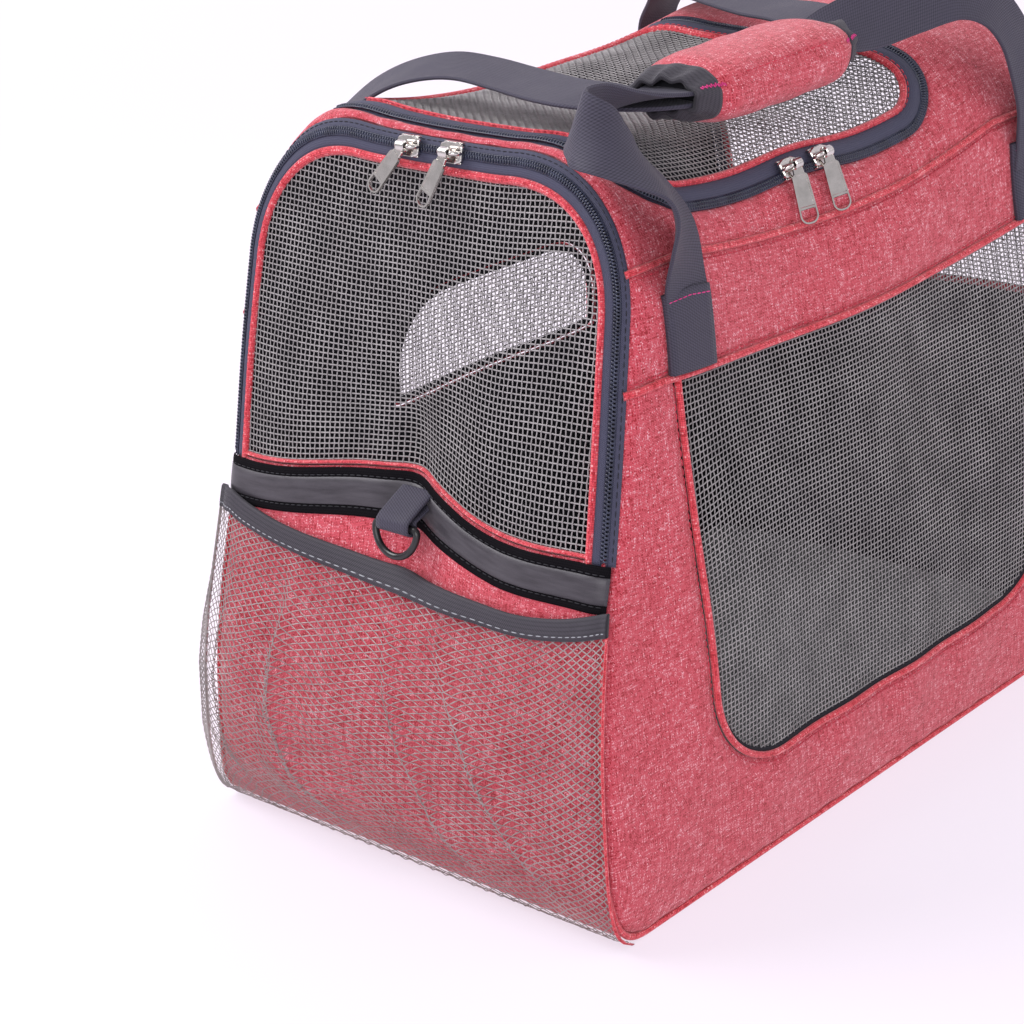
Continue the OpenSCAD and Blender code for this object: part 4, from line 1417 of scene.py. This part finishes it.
for end_name, side in (("front", FRONT), ("rear", REAR)):
    pivot = PIVOT[end_name + "_d_ring_swing"]
    across, up, out = (np.array(k, float) for k in end_axes(side))
    straight = [(x, 0, 0) for x in span(-9.8, 9.8, 1.4)]
    turns = np.linspace(0.25, math.pi / 2, 6)
    bend = [(9.8 + 2.2 * math.sin(a), -2.2 + 2.2 * math.cos(a), 0) for a in turns]
    bow = ellipse(RING_RADIUS, RING_RADIUS, -np.linspace(0.1, math.pi - 0.1, 40))
    half = [(x, y - RING_LEG, 0) for x, y in bow]
    path = straight + bend + half + [(-x, y, 0) for x, y, _ in bend[::-1]]
    ring = trail(Parts(), path, (0, 0, 1), ellipse(RING_WIRE, RING_WIRE, circle(14)), closed=True)
    ring.moved(pivot, across, up, out)
    node = end_name + "_d_ring"
    piece(node + "_wire", ring, RING_BLACK, node, node, solid=True)

    # the webbing loop that carries the ring, from the top edge of the strip down round the bar and back
    root = end(side)(0.0, float(end_length(STRIP_HIGH)) - 2.0, 2.4)
    x0, y0 = (root - pivot) @ out, (root - pivot) @ up
    down = [(x0, y0), (x0 + 2.2, y0 - 1.5), (1.6, 3.6), (2.75, 0.8), (2.3, -1.6), (0, -2.75)]
    back = [(-2.2, -1.7), (-2.7, 0.6), (-2.2, 2.8), (x0 * 0.6 - 1.8, y0 * 0.5), (x0 + 0.4, y0 - 4.5)]
    loop = flowing([(0, b, a) for a, b in down + back], 0.8)
    facing = np.cross(np.gradient(loop, axis=0), (1, 0, 0))
    flat = flat_profile(-TAB_WIDTH / 2, TAB_WIDTH / 2, -0.55, 0.55, 0.3, 0.0, 7)
    tab = trail(Parts(), loop, -facing, flat).moved(pivot, across, up, out)
    piece(end_name + "_ring_webbing", tab, WEBBING, "shell", end_name + "_ring_tab", solid=True)


# ------------------------------------------------------------------ pocket
NET_PITCH, HEM = 3.2, 9.5


def hem_height(y):
    y = np.clip(y, -200, 84)
    return POCKET_TOP + 1 + 0.095 * y + 0.0009 * y**2 + 6 * smooth(55, 115, -y)


def pocket(u, v, h):
    """The net pocket: u is 0 at the near edge and 1 at the far one, v is 0 at the floor and 1 on top."""
    u, v, h = np.broadcast_arrays(*[np.asarray(k, float) for k in (u, v, h)])
    y_line = -114 + 232 * u
    z = 0.9 + (hem_height(y_line) - 0.9) * v
    full = np.interp(z, [0, 6, 18, 40, 70, 92, 115, 150], [0.1, 0.22, 0.6, 0.95, 1.0, 0.8, 0.42, 0.1])
    x_face = end_curve(end_length(np.maximum(z, HEEL_RADIUS)))[0] - 9 * (1 - smooth(0, 36, z))
    wide = half_width(z)
    near_x, far_x = -x_face + 2.0, -x_face + 3 + 14 * full
    near_key, far_key = (-x_face - 14 * full, -78 + 0 * z), (-x_face - 27 * full, 112 + 47 * full)
    keys = [(near_x, -wide - 0.3), near_key, far_key, (far_x, wide - 1 + 5 * full)]
    b = ((1 - u) ** 3, 3 * u * (1 - u) ** 2, 3 * u**2 * (1 - u), u**3)
    x = sum(w * k[0] for w, k in zip(b, keys))
    y = sum(w * k[1] for w, k in zip(b, keys))
    fold = full * np.sin(np.pi * np.clip(u, 0, 1)) * smooth(0.02, 0.3, v)
    soft = 2.1 * np.sin(38 * u + 3.2 * v) * np.sin(17 * u - 1.5 * v + 0.6) + 0.8 * np.sin(67 * u - 2.5 * v)
    long_folds = [(0.15, 0.51, 0.018, 8.0), (0.27, 0.12, 0.017, 8.0)]
    small_folds = [(0.2, 0.27, 0.014, 5.0), (0.1, 0.72, 0.014, 4.0)]
    folds = [(u - lean * v - start, wide, high) for lean, start, wide, high in long_folds + small_folds]
    sharp = sum(high * bell(line, 0, wide) for line, wide, high in folds)
    fold = fold * (soft + sharp * smooth(1.0, 0.75, v))
    gather = sum(0.8 * line * bell(line, 0, 2 * wide) for line, wide, _ in folds)
    y = y - 232 * gather * full * smooth(1.0, 0.8, v)
    slack = 2.2 * full * np.sin(9 * u + 5 * v)
    x = x - fold - slack * 0.5 - h
    hug = smooth(118, 145, z) * smooth(0, 0.12, u) * smooth(0, 0.12, 1 - u)
    panel_y = np.clip(y, 3 - wide, wide - 3)
    on_panel = end(FRONT)(panel_y, end_length(z), 3.4)[..., 0]
    x = x + (on_panel - h - x) * hug * 0.9
    x = np.minimum(x, on_panel + 1.4 - h)
    return vec(x, y, z)


def net_lines(length, height):
    """Zigzag threads that touch their neighbours, so that the net opens in diamonds."""
    rows = int(height / (NET_PITCH * 0.5))
    v = np.linspace(0, height, rows * 2 + 1)
    swing = np.tile([0.0, 1.0, 2.0, 1.0], rows)[: len(v)] - 1.0
    lines = []
    for k in range(int(length / NET_PITCH)):
        u = (k + 0.5 + 0.5 * swing * (1 if k % 2 else -1)) * NET_PITCH + 0.15 * np.sin(v / 9 + k)
        lines.append(np.stack([np.clip(u, 0.3, length - 0.3), v, 0.15 * np.sin(v * 2 + k)], -1))
    return lines


NET_LENGTH, NET_HEIGHT = 262.0, 134.0


def net_surface(u, v, h):
    return pocket(u / NET_LENGTH, v / (NET_HEIGHT + HEM), h)


made = threads(Parts(), net_surface, net_lines(NET_LENGTH, NET_HEIGHT + 1.0), 0.62, 0.5)
piece("pocket_net_threads", made, NET_YARN, "shell", "pocket_net")


def hem_surface(s, across, out):
    return net_surface(s, NET_HEIGHT + HEM / 2 + across, out)


stops = span(0, NET_LENGTH, 2.0)
hem = band(Parts(), hem_surface, stops, flat_profile(-HEM / 2 - 0.3, HEM / 2, -1.0, 0.9, 0.5, 0.35, 7))
stitches(hem, hem_surface, np.arange(4, NET_LENGTH - 4, 4.2), (2.7, 0.5, 0.4), -HEM / 2 + 2.0, 1.0, 1)
piece("pocket_hem", hem, [RIBBED_BINDING, PALE_STITCH], "shell", "pocket_binding", solid=True)
for name, u, material in (("near", 0.0, CORAL_BINDING), ("far", NET_LENGTH, NET_YARN)):

    def seam_line(s, across, out):
        return net_surface(u + across, s, out)

    edge = band(Parts(), seam_line, span(0, NET_HEIGHT, 3.0), round_profile(0, 0, 1.0, 6))
    piece(f"pocket_{name}_seam", edge, material, "shell", slot="coral_piping", solid=True)


# ------------------------------------------------------------------ handles
FOOT_X, STRAP_HALF, LEG_Y = 130.0, 14.2, 111.5
STRAP = flat_profile(-STRAP_HALF, STRAP_HALF, -0.85, 0.85, 0.5, 0.15, 9)


def strap(name, keys, side):
    """One arm of a handle: key rows hold a place and the direction of the webbing's width."""
    rows = flowing(keys, 3.0)
    path, wide = rows[:, :3], unit(rows[:, 3:])
    made = trail(Parts(), path, np.cross(wide, unit(np.gradient(path, axis=0))), STRAP)
    body = "near_handle" if side == NEAR else "far_handle"
    done = piece(name, made, WEBBING, None, body, crease=50, solid=True)
    side * LEG_Y * MM
    side * LEG_Y * MM
    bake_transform(done)


def start_of(x, side):
    """Where a strap leaves its foot."""
    q = cross_floor(250.0)
    return tuple(tube(x, q if side == NEAR else FAR_OF - q, 2.2))


ALONG = (1, 0, 0)
near_front = [
    (*start_of(-FOOT_X, NEAR), *ALONG), (-130.5, -110.8, 268, 1, 0.1, 0),
    (-134, -113.5, 287, 0.95, 0.35, 0.1), (-140, -114.5, 302, 0.78, 0.62, 0.0),
    (-149, -114.5, 314, 0.68, 0.68, 0.05), (-160, -112, 324, 0.56, 0.5, 0.42),
    (-168, -106, 331.5, 0.5, 0.33, 0.72), (-171, -98, 336.5, 0.3, 0.0, 0.92),
    (-166.5, -90, 338.5, 0.1, -0.35, 0.93), (-152, -84, 338.5, 0, -0.6, 0.8),
    (-134, -81.5, 336.5, 0, -0.85, 0.5), (-114, -81, 335, 0, -0.97, 0.2), (-94, -81, 334.5, 0, -1, 0),
    (-84, -81, 334.5, 0, -1, 0),
]
near_rear = [
    (*start_of(FOOT_X, NEAR), *ALONG), (130.5, -110.8, 268, *ALONG), (127, -113, 285, 1, 0, 0.15),
    (119, -113, 303, 0.95, 0.1, 0.3), (109, -111, 322, 0.85, 0.25, 0.45),
    (96, -107, 336, 0.7, 0.35, 0.6), (78, -101, 343, 0.45, 0.45, 0.75),
    (55, -93, 341, 0.15, 0.55, 0.82), (34, -87, 338, 0, 0.65, 0.75), (16, -83, 336, 0, 0.85, 0.5),
    (2, -81, 334.5, 0, 1, 0.1), (-6, -81, 334.5, 0, 1, 0),
]
far_front = [
    (*start_of(-FOOT_X, FAR), *ALONG), (-129, 112.5, 268, 1, 0.1, 0), (-126, 112, 284, 0.95, 0.25, 0),
    (-121, 106, 297, 0.9, 0.4, 0.05), (-116, 94, 308, 0.88, 0.45, 0.1),
    (-111, 78, 320, 0.88, 0.4, 0.2), (-107, 60, 329, 0.92, 0.3, 0.2), (-104, 40, 334, 0.97, 0.1, 0.2),
    (-104, 18, 335, 1, 0, 0.1), (-108, -8, 334, 1, -0.15, 0.08), (-115, -34, 334, 0.97, -0.2, 0.1),
    (-118, -55, 334.5, 0.97, 0.1, 0.12), (-112, -70, 333.5, 0.75, 0.6, 0.1),
    (-98, -79, 331, 0.3, 0.95, 0.05), (-84, -81, 330, 0, 1, 0),
]
far_rear = [
    (*start_of(FOOT_X, FAR), *ALONG), (130, 112.5, 268, *ALONG), (131, 112.5, 285, *ALONG),
    (129, 107, 305, *ALONG), (120, 90, 321, *ALONG), (98, 66, 332, 0.9, -0.4, 0),
    (74, 40, 335, 0.8, -0.5, 0), (60, 12, 335, 0.95, -0.35, 0), (52, -15, 334, 1, -0.2, 0.05),
    (45, -40, 335, 0.95, -0.3, 0.1), (34, -62, 335, 0.7, -0.7, 0.15),
    (18, -76, 332, 0.25, -0.95, 0.05), (0, -81, 330, 0, -1, 0),
]
for name, keys, side in (
    ("near_front_strap", near_front, NEAR),
    ("near_rear_strap", near_rear, NEAR),
    ("far_front_strap", far_front, FAR),
    ("far_rear_strap", far_rear, FAR),
):
    strap(name, keys, side)

# the straps meet inside the wrap as flat webbing
for name, z, body in (("near", 334.5, "near_handle"), ("far", 330.0, "far_handle")):
    path = [(x, -81, z) for x in span(-90, 2, 4.0)]
    made = trail(Parts(), path, (0, 0, 1), STRAP)
    piece(name + "_grip_webbing", made, WEBBING, body, slot=SLOT_OF[body], solid=True)

for name, side in (("near", NEAR), ("far", FAR)):
    feet = Parts()
    for x in (-FOOT_X, FOOT_X):
        q = span(cross_floor(FOOT_LOW - 1), cross_floor(FOOT_TOP), 2.0)
        q = q if side == NEAR else FAR_OF - q
        line = Course([(x, k) for k in q], tube)
        follow(feet, line, flat_profile(-STRAP_HALF - 0.3, STRAP_HALF + 0.3, 0.1, 3.4, 0.8, 0.1, 9))
        for across in np.arange(-STRAP_HALF + 2, STRAP_HALF - 1, 3.0):
            stitches(feet, line, [line.length - 3.0], (2.4, 0.5, 0.4), across, 3.4, 1, turned=True)
    looks = [WEBBING, MAGENTA_STITCH]
    piece(name + "_foot_webbing", feet, looks, "shell", name + "_handle_feet", solid=True)


# ------------------------------------------------------------------ padded wrap
WRAP_LOW, WRAP_HIGH = box_of("handle_wrap")
BIND_LOW, BIND_HIGH = box_of("wrap_bindings")
WRAP_MIDDLE = (WRAP_LOW + WRAP_HIGH) / 2


def wrap_section():
    turn = circle(96)
    c, s = np.cos(turn), np.sin(turn)
    power = 0.78
    return np.stack([22.4 * np.sign(c) * np.abs(c) ** power, 12.6 * np.sign(s) * np.abs(s) ** power], -1)


wrap_line = Course(wrap_section(), lambda u, v, h: vec(u, v, h), True)


def wrap(s, x, h):
    """The padded wrap: s round it, x along it, h out of it."""
    s, x, h = np.broadcast_arrays(*[np.asarray(k, float) for k in (s, x, h)])
    y, z = wrap_line.flat(s, h)
    crease = bell(np.mod(s - CREASE_AT + 30, wrap_line.length) - 30, 0, 1.5)
    end_pinch = smooth(36, 56, np.abs(x))
    pleat = end_pinch**2 * (1.5 * np.sin(s / 2.1 + 0.6) + 0.9 * np.sin(s / 4.6 + x / 3))
    uneven = 0.45 * np.sin(s / 5.2 + x / 9) * np.sin(x / 7.5 + 0.7)
    plump = 1.1 * np.cos(np.pi * x / 110) + uneven * (1 - 0.5 * end_pinch)
    crumple = pleat * 0.022
    shrink = (plump - 0.9 * crease - 1.2 * end_pinch) / 22
    wide = 1 + shrink + crumple - 0.12 * end_pinch
    high = 1.05 + shrink * 1.6 - 0.36 * end_pinch + 3 * crumple
    lift = (0.5 - 0.2 * y / 22 * 8) * end_pinch
    return WRAP_MIDDLE + vec(x, y * wide + 2.0 * end_pinch, z * high + lift)


CREASE_AT = wrap_line.length * 0.455
half = (WRAP_HIGH[0] - WRAP_LOW[0]) / 2
outside = [(x, 0.0) for x in span(-half - 2, half + 2, 2.0)]
inside = [(x, -3.0) for x in span(half + 2, -half - 2, 8.0)]
stops = wrap_line.stations(1.6)
pad = band(Parts(), wrap, stops, outside + inside, closed=True)
pad.uvs = [k[:, ::-1] for k in pad.uvs]
made = piece("wrap_cloth", pad, CORAL, "near_handle", "handle_wrap", solid=True)

binding = Parts()
whole = (BIND_HIGH[0] - BIND_LOW[0]) / 2
for sign in (-1, 1):
    a, b = sign * (half - 0.8), sign * whole
    middle = (a + b) / 2
    over = [(a, 0.5), (a + (b - a) * 0.15, 1.1), (middle, 1.3), (b - (b - a) * 0.12, 1.1), (b, 0.2)]
    ring = over + [(b, -3.2), (middle, -3.9), (a, -3.6)]
    band(binding, wrap, stops, ring, closed=True)
piece("wrap_ribbed_binding", binding, RIBBED_BINDING, "near_handle", "wrap_bindings", solid=True)

for sign in (-1, 1):
    plug = wrap(wrap_line.stations(3.0)[None], np.array([[sign * (whole - 4)], [sign * (whole - 8)]]), -3.4)
    core = sweep(Parts(), plug, plug[..., 1], plug[..., 2])
    piece(f"wrap_core_{sign + 1}", core, LINING, "near_handle", slot=SLOT_OF["handle_wrap"], solid=True)

tacks = Parts()
for sign in (-1, 1):
    for k in range(13):
        x = sign * (whole - 1.5 - 0.95 * k)
        out = 1.4 if k < 9 else 0.2
        stitches(tacks, wrap, [CREASE_AT + 0.25 * (-1) ** k], (0.7, 1.7, 0.45), x, out, turned=True)
for x in np.arange(-half + 18, half - 17, 4.4):
    stitches(tacks, wrap, [CREASE_AT - 2.2], (3.0, 0.5, 0.4), x, 0.1, 1, turned=True)
looks = [MAGENTA_STITCH, RED_STITCH]
piece("wrap_bartacks", tacks, looks, "near_handle", slot=SLOT_OF["handle_wrap"], solid=True)

# ------------------------------------------------------------------ floor mat and board
MAT_LOW, MAT_HIGH = box_of("floor_mat")


def mat_parts():
    w, d = (MAT_HIGH[0] - MAT_LOW[0]) / 2, (MAT_HIGH[1] - MAT_LOW[1]) / 2
    made = Parts()
    even = np.linspace(-math.pi / 2, math.pi / 2, 70)
    u, v = np.broadcast_arrays(np.sin(even)[:, None] * w, np.sin(np.linspace(even[0], even[-1], 50)) * d)
    rise = 1 - np.exp(-np.minimum(w - np.abs(u), d - np.abs(v)) / 5)
    quilt = 0.8 * np.cos(u / 27) * np.cos(v / 27)
    middle = (MAT_LOW[2] + MAT_HIGH[2]) / 2
    half = (MAT_HIGH[2] - MAT_LOW[2]) / 2
    corner = 1 - 0.05 * (np.abs(u) / w) ** 6 * (np.abs(v) / d) ** 6
    top = vec(u * corner, v * corner, middle + 0.4 + (half - 1.2) * rise + quilt * rise)
    low = vec(u * corner, v * corner, middle - 0.4 - (half - 0.4) * rise)
    made.grid(top, u, v)
    made.grid(low, u, v, flip=True)
    for edge, flip in ((FIRST, False), (LAST, True), (LEFT, True), (RIGHT, False)):
        a = top[edge]
        made.grid(np.stack([a, low[edge]], 1), a[:, :1], a[:, 1:2] + [[0, 1]], flip=flip)
    return made


mat = piece("floor_mat_fleece", mat_parts(), FLEECE, "floor_mat", "floor_mat", solid=True)
shown = frame["nodes"]["base_board"]
shown.data.materials.clear()
shown.data.materials.append(BOARD)


# ------------------------------------------------------------------ camera, light and stage
def stage():
    floor = bpy.data.meshes.new("floor")
    rows = [(-9.0, 0.0), (1.1, 0.0)]
    for k in range(13):
        a = math.pi / 2 * k / 12
        rows.append((1.1 + 0.35 * math.sin(a), 0.35 - 0.35 * math.cos(a)))
    rows.append((1.45, 2.6))
    heading = Vector((0.68, 0.63, 0)).normalized()
    across = Vector((heading.y, -heading.x, 0))
    points = [heading * d + across * w + Vector((0, 0, z)) for d, z in rows for w in (-8, 8)]
    faces = [(2 * k, 2 * k + 1, 2 * k + 3, 2 * k + 2) for k in range(len(rows) - 1)]
    floor.from_pydata(points, [], faces)
    floor.polygons.foreach_set("use_smooth", [True] * len(faces))
    made = bpy.data.objects.new("floor", floor)
    bpy.context.scene.collection.objects.link(made)
    g = Graph("pale_floor")
    tint = g.ramp(g.noise(None, 3.0), [(0.0, rgb(0.26, 0.24, 0.27)), (1.0, rgb(0.28, 0.26, 0.29))])
    glow = {"Emission_Color": rgb(0.96, 0.89, 0.99), "Emission_Strength": 0.70}
    floor.materials.append(g.finish(tint, 0.6, **glow))


def light(name, place, size, power):
    """A round lamp that shines at the middle of the bag."""
    lamp = bpy.data.lights.new(name, "AREA")
    lamp.shape, lamp.size, lamp.energy = "DISK", size, power
    made = bpy.data.objects.new(name, lamp)
    bpy.context.scene.collection.objects.link(made)
    made.location = place
    made.rotation_mode = "QUATERNION"
    made.rotation_quaternion = (Vector((0, 0, 0.15)) - Vector(place)).to_track_quat("-Z", "Y")


stage()
light("key", (-0.7, 1.1, 1.6), 1.2, 30)
light("front_fill", (-1.6, -0.9, 1.0), 1.4, 17)
light("side_fill", (0.9, -1.6, 1.1), 1.4, 9)
world = bpy.data.worlds.new("studio")
world.use_nodes = True
world.node_tree.nodes["Background"].inputs[0].default_value = (0.97, 0.94, 1.0, 1)
world.node_tree.nodes["Background"].inputs[1].default_value = 0.62
bpy.context.scene.world = world
bpy.context.scene.view_settings.view_transform = "Standard"

camera = bpy.data.objects.new("camera", bpy.data.cameras.new("camera"))
bpy.context.scene.collection.objects.link(camera)
camera.data.sensor_width, camera.data.lens = 36, 93.03
right = Vector((0.66066643, -0.74781072, -0.06556675))
up = Vector((0.32240133, 0.20378056, 0.92440839))
back = -Vector((0.67792127, 0.6318644, -0.37572614))
eye = Matrix.Translation((-0.912727, -0.738101, 0.581119))
camera.matrix_world = eye @ Matrix((right, up, back)).transposed().to_4x4()
camera.data.clip_start, camera.data.clip_end = 0.01, 20
bpy.context.scene.camera = camera
